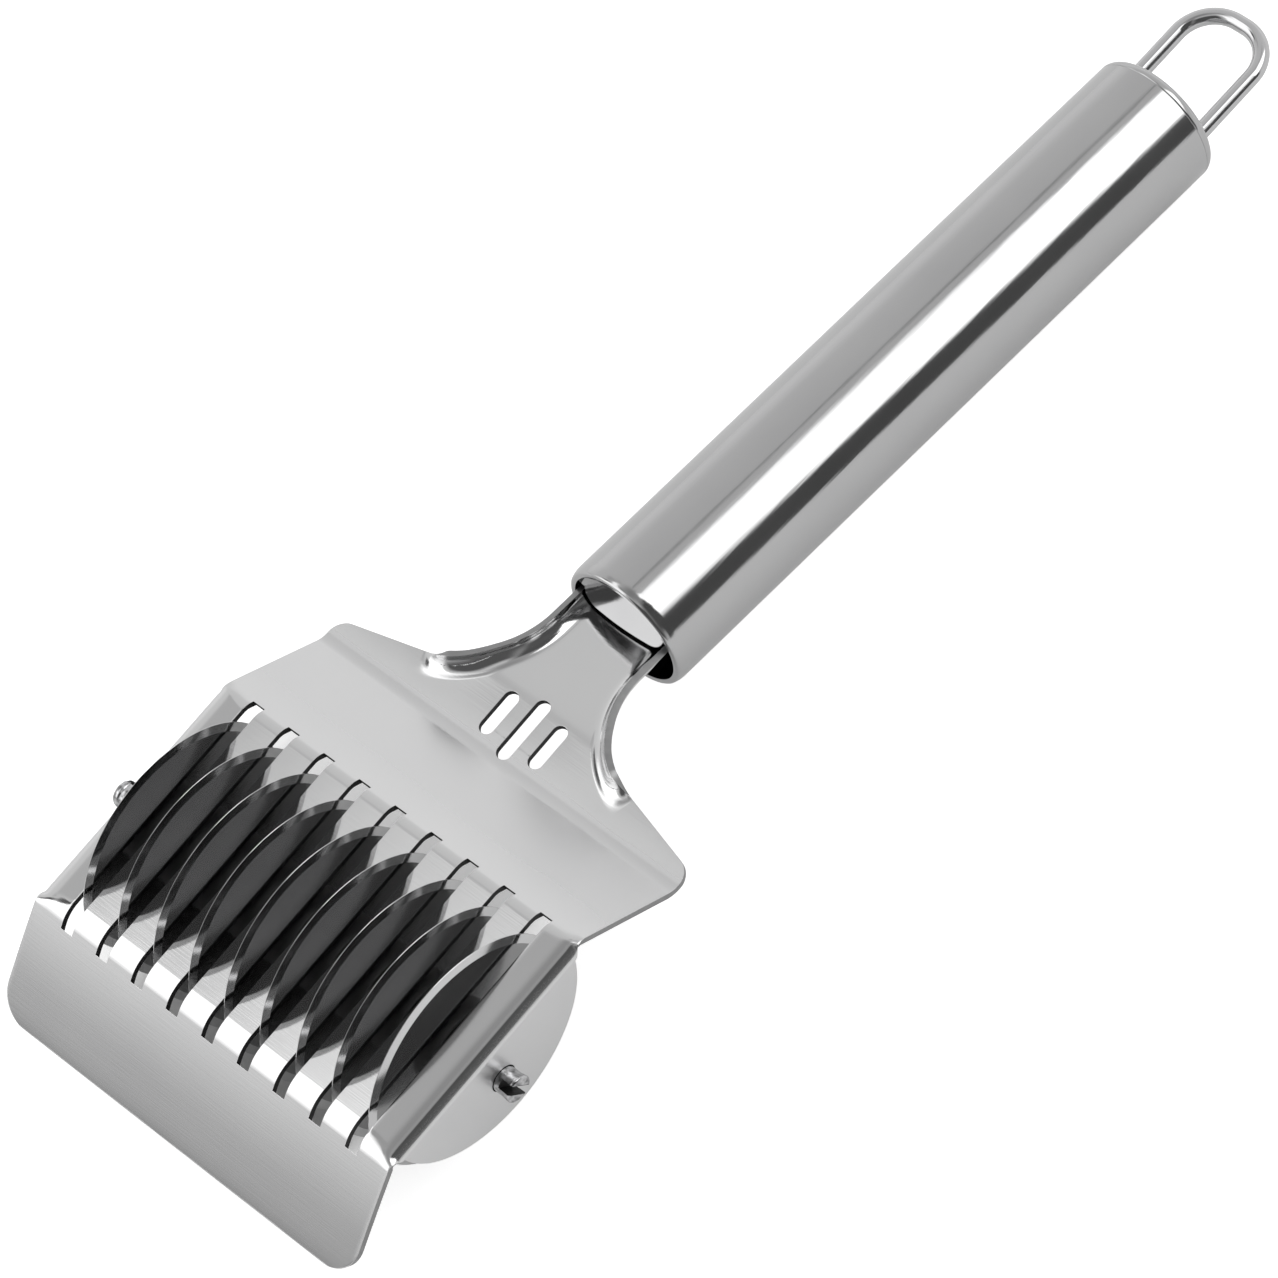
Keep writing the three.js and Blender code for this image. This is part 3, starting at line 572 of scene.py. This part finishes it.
# three vents with round ends, the middle one longer
vent_half = 1.4 * mm
vent_pitch = 5.6 * mm
vent_middle = 48.35 * mm
vent_reach = 4 * mm
short_vent = 8.8 * mm
long_vent = 12.4 * mm
for place, length in ((-vent_pitch, short_vent), (0, long_vent), (vent_pitch, short_vent)):
    vent = block(
        (place - vent_half, vent_middle - length / 2, landing_level - vent_reach),
        (place + vent_half, vent_middle + length / 2, landing_level + vent_reach),
    )
    edit(vent)
    pick(vent, "EDGE", lambda at: abs(at.z - landing_level) < near)
    bpy.ops.mesh.bevel(offset=vent_half - doubled, segments=10, profile=0.5)
    bpy.ops.object.mode_set(mode="OBJECT")
    cutters.append(vent)

# and the pin's holes
side_on = (0, math.pi / 2, 0)
bpy.ops.mesh.primitive_cylinder_add(
    vertices=64, radius=pin_hole, depth=2.2 * ear_face, location=(0, 0, -axle_depth), rotation=side_on
)
cutters.append(bpy.context.object)
for cutter in cutters:
    # the cut walls of the slots, vents and holes take the near-black painted shade
    cutter.data.materials.append(punched_edge_shade.material)
cut(plate, *cutters, materials="TRANSFER")
break_edges(plate, punched_round, 50)
smooth(plate, 35)
put(plate, Matrix.Rotation(head_tip, 3, "X"), head_place)
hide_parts("head_plate")
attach(plate, "frame")

# Axle
# One steel pin through both ears, on which the blades and rings roll. Each end is split with a chisel
# and spread, which holds the pin there.
pin = 2.4 * mm
pin_left = 47.7 * mm
pin_right = 44.7 * mm
pin_swell = 0.02 * mm
pin_spread = 0.15 * mm
pin_spread_length = 1.6 * mm
left_rounding = 1.1 * mm
right_rounding = 0.4 * mm
left_split = 0.9 * mm
right_split = 1.6 * mm
split_depth = 2.4 * mm
split_round = 0.1 * mm


def turned(name, stations, sides, ring=False):
    """A piece turned about the X axis through (along, radius) stations. A ring closes round its bore."""
    along, radius = stations[0]
    bpy.ops.mesh.primitive_circle_add(
        vertices=sides,
        radius=radius,
        fill_type="NOTHING" if ring else "NGON",
        location=(along, 0, 0),
        rotation=side_on,
    )
    piece = bpy.context.object
    piece.name = name
    bpy.ops.object.transform_apply(location=True, rotation=True, scale=True)
    edit(piece)
    bpy.ops.mesh.select_all(action="SELECT")
    for place, wide in stations[1:] + (stations[:1] if ring else []):
        extrude((place - along, 0, 0))
        bpy.ops.transform.resize(value=(1, wide / radius, wide / radius), center_override=(place, 0, 0))
        along = place
        radius = wide
    finish_edit()
    return piece


def pin_tip(end, rounding):
    """The stations of one spread end, from its face inwards."""
    wide = pin + pin_spread
    tip = []
    for i in range(5):
        swing = math.pi / 2 * i / 4
        tip.append((end - rounding * (1 - math.cos(swing)), wide - rounding * (1 - math.sin(swing))))
    return tip + [
        (end - rounding - 0.25 * pin_spread_length, pin + 0.75 * pin_spread),
        (end - pin_spread_length, pin + pin_swell),
        (end - pin_spread_length - 2 * pin_spread, pin),
    ]


left_tip = [(-along, radius) for along, radius in pin_tip(pin_left, left_rounding)]
right_tip = pin_tip(pin_right, right_rounding)[::-1]
axle = turned("split_ended_pin", left_tip + right_tip, sides=64)
splits = []
for end, gap, degrees in ((-pin_left, left_split, 40), (pin_right, right_split, -50)):
    lowest = Vector((end - split_depth, -2.5 * pin, -gap / 2))
    split = block(lowest, (end + split_depth, 2.5 * pin, gap / 2))
    put(split, Matrix.Rotation(math.radians(degrees), 3, "X"), Vector())
    # the split's faces take the punched edges' near-black painted shade
    split.data.materials.append(punched_edge_shade.material)
    splits.append(split)

# drawn steel with fine lines along it, mottled with dark marks
pin_steel = Finish("drawn_pin_steel", Metallic=1.0)
pin_lines = pin_steel.noise(3.0, stretch=(60, 900, 900))
pin_steel.roughen(pin_lines, 0.12, 0.24)
marked = pin_steel.ramp(pin_steel.noise(1100.0), 0.35, 0.6)
pin_steel.tint(marked, (0.22, 0.22, 0.222), (0.62, 0.62, 0.63))
pin_steel.relief(pin_lines, 0.05)
axle.data.materials.append(pin_steel.material)
cut(axle, *splits, materials="TRANSFER")
break_edges(axle, split_round, 55)
smooth(axle, 40)
put(axle, Matrix.Identity(3), axle_place)
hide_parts("axle")
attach(axle, "frame")

# Spacer rings
# Ten moulded rings of black plastic on the pin: eight between the blades and a shorter one at each
# end against the ear. Their faces are dished a little and their edges are rounded.
ring_radius = 7.8 * mm
ring_bore = 0.15 * mm
ring_lip = 1.4 * mm
ring_rim = 1.2 * mm
ring_round = 0.4 * mm
ring_play = 0.6 * mm
dish_depth = 0.2 * mm
dish_slope = 0.4 * mm
end_ring_length = 5.65 * mm
end_ring_chamfer = 1.6 * mm
blade_thickness = 0.7 * mm
blade_shift = -0.4 * mm


def spacer(name, length, chamfer=0.0):
    """A ring of that length. Where a chamfer is given, its right face is flat and takes it."""
    half = length / 2
    dish = half - dish_depth
    face = [
        (half, pin_hole + ring_bore),
        (half, pin_hole + ring_lip),
        (dish, pin_hole + ring_lip + dish_slope),
        (dish, ring_radius - ring_rim - dish_slope),
        (half, ring_radius - ring_rim),
        (half, ring_radius - ring_round),
        (half - 0.3 * ring_round, ring_radius - 0.3 * ring_round),
        (half - ring_round, ring_radius),
    ]
    far = face
    if chamfer:
        far = [face[0], (half, ring_radius - chamfer), (half - chamfer, ring_radius)]
    bore = [(half - ring_bore, pin_hole), (-half + ring_bore, pin_hole)]
    stations = [(-along, radius) for along, radius in face] + far[::-1] + bore
    piece = turned(name, stations, sides=96, ring=True)
    smooth(piece, 50)
    return piece


def copy_of(pattern, name):
    """A copy of a piece, with a mesh of its own."""
    piece = pattern.copy()
    piece.data = pattern.data.copy()
    piece.name = name
    bpy.context.scene.collection.objects.link(piece)
    return piece


plastic = Finish("black_moulded_plastic", Roughness=0.42)
plastic.tint(plastic.noise(160.0, detail=3.0), (0.22, 0.22, 0.222), (0.28, 0.28, 0.28))
plastic.relief(plastic.noise(900.0, detail=3.0), 0.12)
between = spacer("ring_pattern", blade_pitch - blade_thickness - ring_play)
outer = spacer("end_ring_pattern", end_ring_length, chamfer=end_ring_chamfer)
outermost = 4 * blade_pitch + (blade_thickness + ring_play + end_ring_length) / 2
rings = [
    ("spacer_left_end", "cutter_1", outer, -outermost),
    ("spacer_right_end", "cutter_9", outer, outermost),
]
for i in range(1, 9):
    rings.append((f"spacer_{i}", f"cutter_{i}", between, (i - 4.5) * blade_pitch))
for node, body, pattern, beside in rings:
    ring = copy_of(pattern, node.replace("spacer", "plastic_ring"))
    turned_round = Matrix.Rotation(math.pi if node == "spacer_left_end" else 0, 3, "Z")
    put(ring, turned_round, axle_place + Vector((beside + blade_shift, 0, 0)))
    ring.data.materials.append(plastic.material)
    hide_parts(node)
    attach(ring, body)
for pattern in (between, outer):
    bpy.data.objects.remove(pattern)

# Blades
# Nine thin discs of hard polished steel, ground to an edge with a narrow bevel on both sides. They
# roll on the pin, each through its slot in the table.
blade_radius = 21.75 * mm
blade_bore = 0.1 * mm
bevel_width = 1.6 * mm
edge_half = 0.05 * mm
edge_round = 0.02 * mm
face_half = blade_thickness / 2
disc = turned(
    "blade_pattern",
    [
        (-face_half, pin_hole + 2 * blade_bore),
        (-face_half, blade_radius - bevel_width),
        (-edge_half, blade_radius - edge_round),
        (0, blade_radius),
        (edge_half, blade_radius - edge_round),
        (face_half, blade_radius - bevel_width),
        (face_half, pin_hole + 2 * blade_bore),
        (face_half - blade_bore, pin_hole),
        (-face_half + blade_bore, pin_hole),
    ],
    sides=192,
    ring=True,
)
smooth(disc, 6)

# the polished faces, and the ground bevels, whose lighter tone is a painted highlight along the blades' rims
hard = Finish("hard_polished_steel", Metallic=1.0)
ground = hard.noise(130.0, detail=5.0)
hard.roughen(ground, 0.08, 0.18)
hard.tint(ground, (0.30, 0.30, 0.303), (0.36, 0.36, 0.36))
bevel_painted_highlight = Finish("ground_edge_painted_highlight", Metallic=1.0)
honed = bevel_painted_highlight.noise(260.0, detail=4.0)
bevel_painted_highlight.roughen(honed, 0.10, 0.18)
bevel_painted_highlight.tint(honed, (0.66, 0.66, 0.665), (0.74, 0.74, 0.74))
disc.data.materials.append(hard.material)
disc.data.materials.append(bevel_painted_highlight.material)
edit(disc)
# the rim's faces take the bevels' painted highlight
pick(disc, "FACE", lambda at: math.hypot(at.y, at.z) > blade_radius - 0.9 * bevel_width)
disc.active_material_index = 1
bpy.ops.object.material_slot_assign()
bpy.ops.object.mode_set(mode="OBJECT")
for i in range(1, 10):
    blade = copy_of(disc, f"round_blade_{i}")
    put(blade, Matrix.Identity(3), axle_place + Vector(((i - 5) * blade_pitch + blade_shift, 0, 0)))
    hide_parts(f"blade_{i}")
    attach(blade, f"cutter_{i}")
bpy.data.objects.remove(disc)

# Handle tube
# Stainless tube with a one-millimetre wall, brushed to a satin, its mouth rolled slightly in over
# the tongue. The tongue is spot welded inside.
tube_radius = 12.48 * mm
tube_wall = 1.0 * mm
tube_length = 131.9 * mm
cap_face = 133.9 * mm
mouth_roll = 2.2 * mm
mouth_inset = 0.45 * mm
mouth_flat = 0.35 * mm
mouth_round = 0.12 * mm
mouth_chamfer = 0.1 * mm
end_round = 0.15 * mm
lip = tube_radius - mouth_inset
mouth_place = Vector(cap_mount["pos_m"]) - handle_way * cap_face
handle_turn = Matrix.Rotation(handle_tip, 3, "X") @ Matrix.Rotation(math.pi / 2, 3, "Z")
mouth = [(0.0, lip - 2 * mouth_flat), (0.0, lip - mouth_flat), (mouth_round / 2, lip - mouth_round)]
rolled = []
for i in range(1, 9):
    along = mouth_roll * i / 8
    rolled.append((along, tube_radius - mouth_inset * (1 - along / mouth_roll) ** 2))
far_end = [
    (tube_length - 0.8 * end_round, tube_radius),
    (tube_length - 0.2 * end_round, tube_radius - end_round / 3),
    (tube_length, tube_radius - end_round),
    (tube_length, tube_radius - tube_wall),
]
inside = [(along, radius - tube_wall) for along, radius in rolled[::-1]]
inside.append((mouth_chamfer, lip - tube_wall))
tube = turned("satin_tube", mouth + rolled + far_end + inside, sides=192, ring=True)

# the mouth's wall above the tongue, slightly domed and leaning back at its top
wall_gap = 0.5 * mm
wall_radius = lip - wall_gap
wall_hollow = 1 * mm
wall_back = 1.2 * mm
wall_rim = 0.3 * mm
wall_dome = 0.9 * mm
wall_lean = math.tan(math.radians(11))
dome = []
for i in range(13):
    swing = math.pi / 2 * i / 12
    dome.append((wall_rim - wall_dome * math.cos(swing), wall_radius * max(i, 0.05) / 12))
back = [(wall_back, wall_radius), (wall_back, wall_hollow)]
mouth_wall = turned("mouth_wall", dome + back, sides=192)
edit(mouth_wall)
shape(mouth_wall, lambda at: at + Vector((at.z * wall_lean, 0, 0)))
bpy.ops.object.mode_set(mode="OBJECT")

# what is cut out of it: the room of the tongue with its curled rims, and all below
tongue_level = 0.7 * mm
room_gap = 0.3 * mm
room_top = 3.7 * mm
room_reach = 13 * mm
room_front = -2 * mm
room_depth = 5 * mm
tongue_half = waist_centre[0] - waist_radius - rim_reach
room_curl = rim_curl - room_gap
room_side = []
for i in range(11):
    curl = rim_turn * i / 10
    rise = tongue_level + rim_curl - room_curl * math.cos(curl)
    room_side.append((tongue_half + room_curl * math.sin(curl), rise))
room_side += [(room_side[-1][0], room_top), (room_reach, room_top), (room_reach, -room_reach)]
room_outline = room_side + [(-across, rise) for across, rise in reversed(room_side)]
bpy.ops.mesh.primitive_circle_add(vertices=len(room_outline), radius=1, fill_type="NGON")
tongue_room = bpy.context.object
edit(tongue_room)


def on_outline(at):
    """Takes a corner of the one-metre circle to its corner of the room's outline."""
    corner = round(math.atan2(at.x, at.y) / (2 * math.pi) * len(room_outline))
    return Vector((room_front, *room_outline[corner % len(room_outline)]))


shape(tongue_room, on_outline)
bpy.ops.mesh.select_all(action="SELECT")
extrude((room_depth, 0, 0))
finish_edit()
cut(mouth_wall, tongue_room)
join(tube, mouth_wall)
smooth(tube, 30)
put(tube, handle_turn, mouth_place)

# brushed to a satin along its length
satin = Finish("brushed_tube_steel", Metallic=1.0)
cloud = satin.noise(90.0, detail=5.0, stretch=(1, 0.5, 1))
satin.roughen(cloud, 0.08, 0.14)
satin.tint(cloud, (0.49, 0.49, 0.495), (0.56, 0.56, 0.56))
satin.relief(satin.noise(1.0, detail=4.0, stretch=(1500, 25, 1500)), 0.06)
tube.data.materials.append(satin.material)
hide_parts("handle_tube")
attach(tube, "frame")

# End cap
# A shallow pressed cap of the same steel, pushed into the tube's far end by its skirt, with two
# holes for the hanging loop.
cap_round = 1.7 * mm
cap_flat = 3 * mm
cap_wall = 1.2 * mm
seam_round = 0.1 * mm
skirt = 11.2 * mm
skirt_wall = 1 * mm
skirt_length = 5.7 * mm
cap_outline = [(cap_face, tube_radius - cap_round - cap_flat)]
for i in range(9):
    swing = math.pi / 2 * i / 8
    along = cap_face - cap_round * (1 - math.cos(swing))
    cap_outline.append((along, tube_radius - cap_round * (1 - math.sin(swing))))
cap_outline += [
    (tube_length + seam_round, tube_radius),
    (tube_length + 0.2 * seam_round, tube_radius - 1.2 * seam_round),
    (tube_length, tube_radius - 3 * seam_round),
    (tube_length, skirt),
    (tube_length - skirt_length, skirt),
    (tube_length - skirt_length, skirt - skirt_wall),
    (cap_face - cap_wall, skirt - skirt_wall),
]
cap = turned("pressed_end_cap", cap_outline, sides=192)

# the loop's two holes, which point up a little as its legs do
wire = 1.5 * mm
loop_half = 8.3 * mm
loop_rise = 0.2 * mm
loop_lift = math.radians(6.2)
hole_radius = 1.8 * mm
hole_depth = 8 * mm
hole_round = 0.1 * mm
holes = []
for side in (-1, 1):
    bpy.ops.mesh.primitive_cylinder_add(vertices=48, radius=hole_radius, depth=hole_depth)
    hole = bpy.context.object
    hole_turn = Matrix.Rotation(math.pi / 2 - loop_lift, 3, "Y")
    put(hole, hole_turn, Vector((cap_face, side * loop_half, loop_rise)))
    holes.append(hole)
cut(cap, *holes)
break_edges(cap, hole_round, 50)
smooth(cap, 40)
put(cap, handle_turn, mouth_place)
cap.data.materials.append(satin.material)
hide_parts("handle_end_cap")
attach(cap, "frame")

# Hanging loop
# One length of bright stainless wire bent into a long loop with rounded corners, its two legs let
# into the holes of the end cap.
loop_corner = 7.4 * mm
loop_reach = 21.93 * mm
loop_root = 5 * mm
loop_straight = loop_reach - loop_corner
corner_place = loop_half - loop_corner
bpy.ops.mesh.primitive_circle_add(
    vertices=32,
    radius=wire,
    fill_type="NGON",
    location=(-loop_half, -loop_root, 0),
    rotation=(math.pi / 2, 0, 0),
)
loop = bpy.context.object
loop.name = "bent_wire_loop"
bpy.ops.object.transform_apply(location=True, rotation=True, scale=True)
edit(loop)
bpy.ops.mesh.select_all(action="SELECT")
extrude((0, loop_root + loop_straight, 0))
for side, run in ((-1, (2 * corner_place, 0, 0)), (1, (0, -loop_root - loop_straight, 0))):
    corner_centre = (side * corner_place, loop_straight, 0)
    bpy.ops.mesh.spin(steps=24, angle=math.pi / 2, center=corner_centre, axis=(0, 0, 1))
    extrude(run)
finish_edit()
smooth(loop, 40)
loop_turn = Matrix.Rotation(handle_tip + loop_lift, 3, "X")
loop_place = Matrix.Rotation(handle_tip, 3, "X") @ Vector((0, cap_face, loop_rise))
put(loop, loop_turn, mouth_place + loop_place)

bright = Finish("bright_wire_steel", Metallic=1.0)
burnished = bright.noise(300.0, detail=4.0)
bright.roughen(burnished, 0.06, 0.14)
bright.tint(burnished, (0.56, 0.56, 0.565), (0.64, 0.64, 0.645))
bright.relief(burnished, 0.03)
loop.data.materials.append(bright.material)
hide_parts("hanging_loop")
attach(loop, "frame")

# Studio
# A white table in a white room. What the metal mirrors is a soft room with a few white cards and
# dark edges round it, as on a product table. The camera stands in front, to the right and above.
floor_gap = 0.2 * mm
bpy.ops.mesh.primitive_plane_add(size=6)
floor = bpy.context.object
floor.name = "white_floor"
put(floor, Matrix.Identity(3), Vector((0, 0, -floor_gap)))
paper = Finish("white_paper", Roughness=0.9)
paper.shader.inputs["Specular IOR Level"].default_value = 0.0
paper.tint(paper.noise(400.0), (0.77, 0.77, 0.77), (0.79, 0.79, 0.79))


def under(centre, sides, ends):
    """Where the painted shadow lies: 1 on the floor under a part of the head, fading to 0 beside it and
    before and behind it.
    """
    off = paper.add("ShaderNodeVectorMath", {0: paper.on(middle=(*centre, 0))}, operation="ABSOLUTE")
    apart = paper.add("ShaderNodeSeparateXYZ", {0: off.outputs[0]}).outputs
    beside = paper.ramp(apart["X"], sides[1], sides[0], interpolation_type="SMOOTHSTEP")
    beyond = paper.ramp(apart["Y"], ends[1], ends[0], interpolation_type="SMOOTHSTEP")
    return paper.maths("MULTIPLY", beside, beyond)


# the bare table is white to the eye; under the head and under its guard its glow is cut by a painted shadow,
# on top of the real shade where little light reaches it; what the steel mirrors of it keeps only a tenth of
# its glow
head_middle = (-16 * mm, -84 * mm)
head_sides = (24 * mm, 42 * mm)
head_ends = (20 * mm, 42 * mm)
guard_middle = (-7 * mm, -112 * mm)
guard_sides = (18 * mm, 34 * mm)
guard_ends = (6 * mm, 18 * mm)
beneath = under(head_middle, head_sides, head_ends)
foremost = under(guard_middle, guard_sides, guard_ends)
painted_head_shadow = paper.ramp(beneath, 0.0, 1.0, 0.70, 0.26)
painted_guard_shadow = paper.ramp(foremost, 0.0, 1.0, 1.0, 0.0)
seen = paper.add("ShaderNodeLightPath", {}).outputs
by_eye = paper.maths("MAXIMUM", seen["Is Camera Ray"], seen["Is Transmission Ray"])
in_steel = paper.maths("MULTIPLY", seen["Is Glossy Ray"], 0.1)
shade = paper.maths("MULTIPLY", painted_head_shadow, painted_guard_shadow)
glow = paper.maths("MULTIPLY", paper.maths("ADD", in_steel, by_eye), shade)
paper.shader.inputs["Emission Color"].default_value = (1, 1, 1, 1)
paper.to("Emission Strength", glow)
floor.data.materials.append(paper.material)

world = bpy.data.worlds.new("studio")
bpy.context.scene.world = world
world.use_nodes = True


def room(kind, inputs, **settings):
    return add_node(world.node_tree, kind, inputs, **settings)


def maths(operation, first, second=0.0):
    return room("ShaderNodeMath", {0: first, 1: second}, operation=operation).outputs[0]


# the way a ray goes, as a bearing round the room and a height, both in degrees
aim = room("ShaderNodeSeparateXYZ", {0: room("ShaderNodeTexCoord", {}).outputs["Generated"]}).outputs
bearing = maths("DEGREES", maths("ARCTAN2", aim["X"], maths("MULTIPLY", aim["Y"], -1.0)))
height = maths("DEGREES", maths("ARCSINE", aim["Z"]))


def with_card(light, azimuth, half_width, elevation, half_height, edges, value):
    """Hangs a white card or a dark screen in the room, with soft edges."""
    off = room("ShaderNodeMath", {0: maths("SUBTRACT", bearing, azimuth), 1: 180, 2: -180}, operation="WRAP")
    inside = []
    for apart, half, edge in (
        (off.outputs[0], half_width, edges[0]),
        (maths("SUBTRACT", height, elevation), half_height, edges[1]),
    ):
        window = {"Value": maths("ABSOLUTE", apart), "From Min": half + edge, "From Max": half - edge}
        inside.append(room("ShaderNodeMapRange", window, interpolation_type="SMOOTHSTEP").outputs[0])
    share = maths("MULTIPLY", *inside)
    return maths("ADD", light, maths("MULTIPLY", share, maths("SUBTRACT", value, light)))


# each card or screen: bearing, half its width, height, half its height, its soft edges and its light,
# hung one before the other
cards = (
    (180, 200, 90, 14, (5, 10), 0.33),
    (258, 10, 63, 5, (6, 5), 0.56),
    (267, 8, 50, 8, (4, 3), 0.52),
    (268, 5, 64, 3.8, (2, 2.5), 0.92),
    (225, 45, 2, 16, (15, 12), 0.9),
    (330, 30, -5.6, 12, (8, 6), 0.34),
    (340, 7, 5, 14, (5, 6), 0.3),
    (318, 27, 40, 24, (4, 13), 1.7),
    (284, 13, 60, 5, (1.5, 2), 1.7),
    (288, 7, 42, 8, (3, 3), 0.1),
    (302, 20, 75, 7, (4, 3), 0.4),
    (40, 42, 30, 30, (8, 8), 0.1),
    (100, 30, 50, 28, (8, 16), 0.3),
    (100, 22, 40, 25, (6, 8), 0.1),
    (105, 17, 12, 15, (4, 4), 0.09),
    (142, 26, 45, 17, (3, 3), 2.4),
    (140, 16, 68, 7, (4, 3), 2.0),
    (193, 3, 61, 10, (2, 2), 0.35),
    (102, 20, 58, 9, (2, 3), 0.09),
)
soft_room = {"Value": height, "From Min": 0.0, "From Max": 90.0, "To Min": 0.78, "To Max": 0.6}
light = room("ShaderNodeMapRange", soft_room).outputs["Result"]
for card in cards:
    light = with_card(light, *card)

# the eye and glass see plain white, metal sees the cards, and all else is lit by a plain room
path = room("ShaderNodeLightPath", {}).outputs
mirrored = room("ShaderNodeEmission", {"Color": (1, 1, 1, 1), "Strength": light}).outputs[0]
plain = room("ShaderNodeEmission", {"Color": (1, 1, 1, 1), "Strength": 0.95}).outputs[0]
backdrop = room("ShaderNodeEmission", {"Color": (1, 1, 1, 1), "Strength": 1.0}).outputs[0]
lit = room("ShaderNodeMixShader", {0: path["Is Glossy Ray"], 1: plain, 2: mirrored}).outputs[0]
clear = maths("MAXIMUM", path["Is Camera Ray"], path["Is Transmission Ray"])
shown = room("ShaderNodeMixShader", {0: clear, 1: lit, 2: backdrop}).outputs[0]
sky = next(node for node in world.node_tree.nodes if node.type == "OUTPUT_WORLD")
world.node_tree.links.new(shown, sky.inputs["Surface"])

lens = bpy.data.cameras.new("camera")
camera = bpy.data.objects.new("camera", lens)
bpy.context.scene.collection.objects.link(camera)
camera.location = (0.59016, -0.35021, 1.03939)
camera.rotation_euler = tuple(math.radians(degrees) for degrees in (31.6189, 11.3927, 42.9378))
lens.sensor_width = 36
lens.lens = 209.197
lens.clip_start = 0.05
bpy.context.scene.camera = camera
bpy.context.scene.view_settings.view_transform = "Standard"
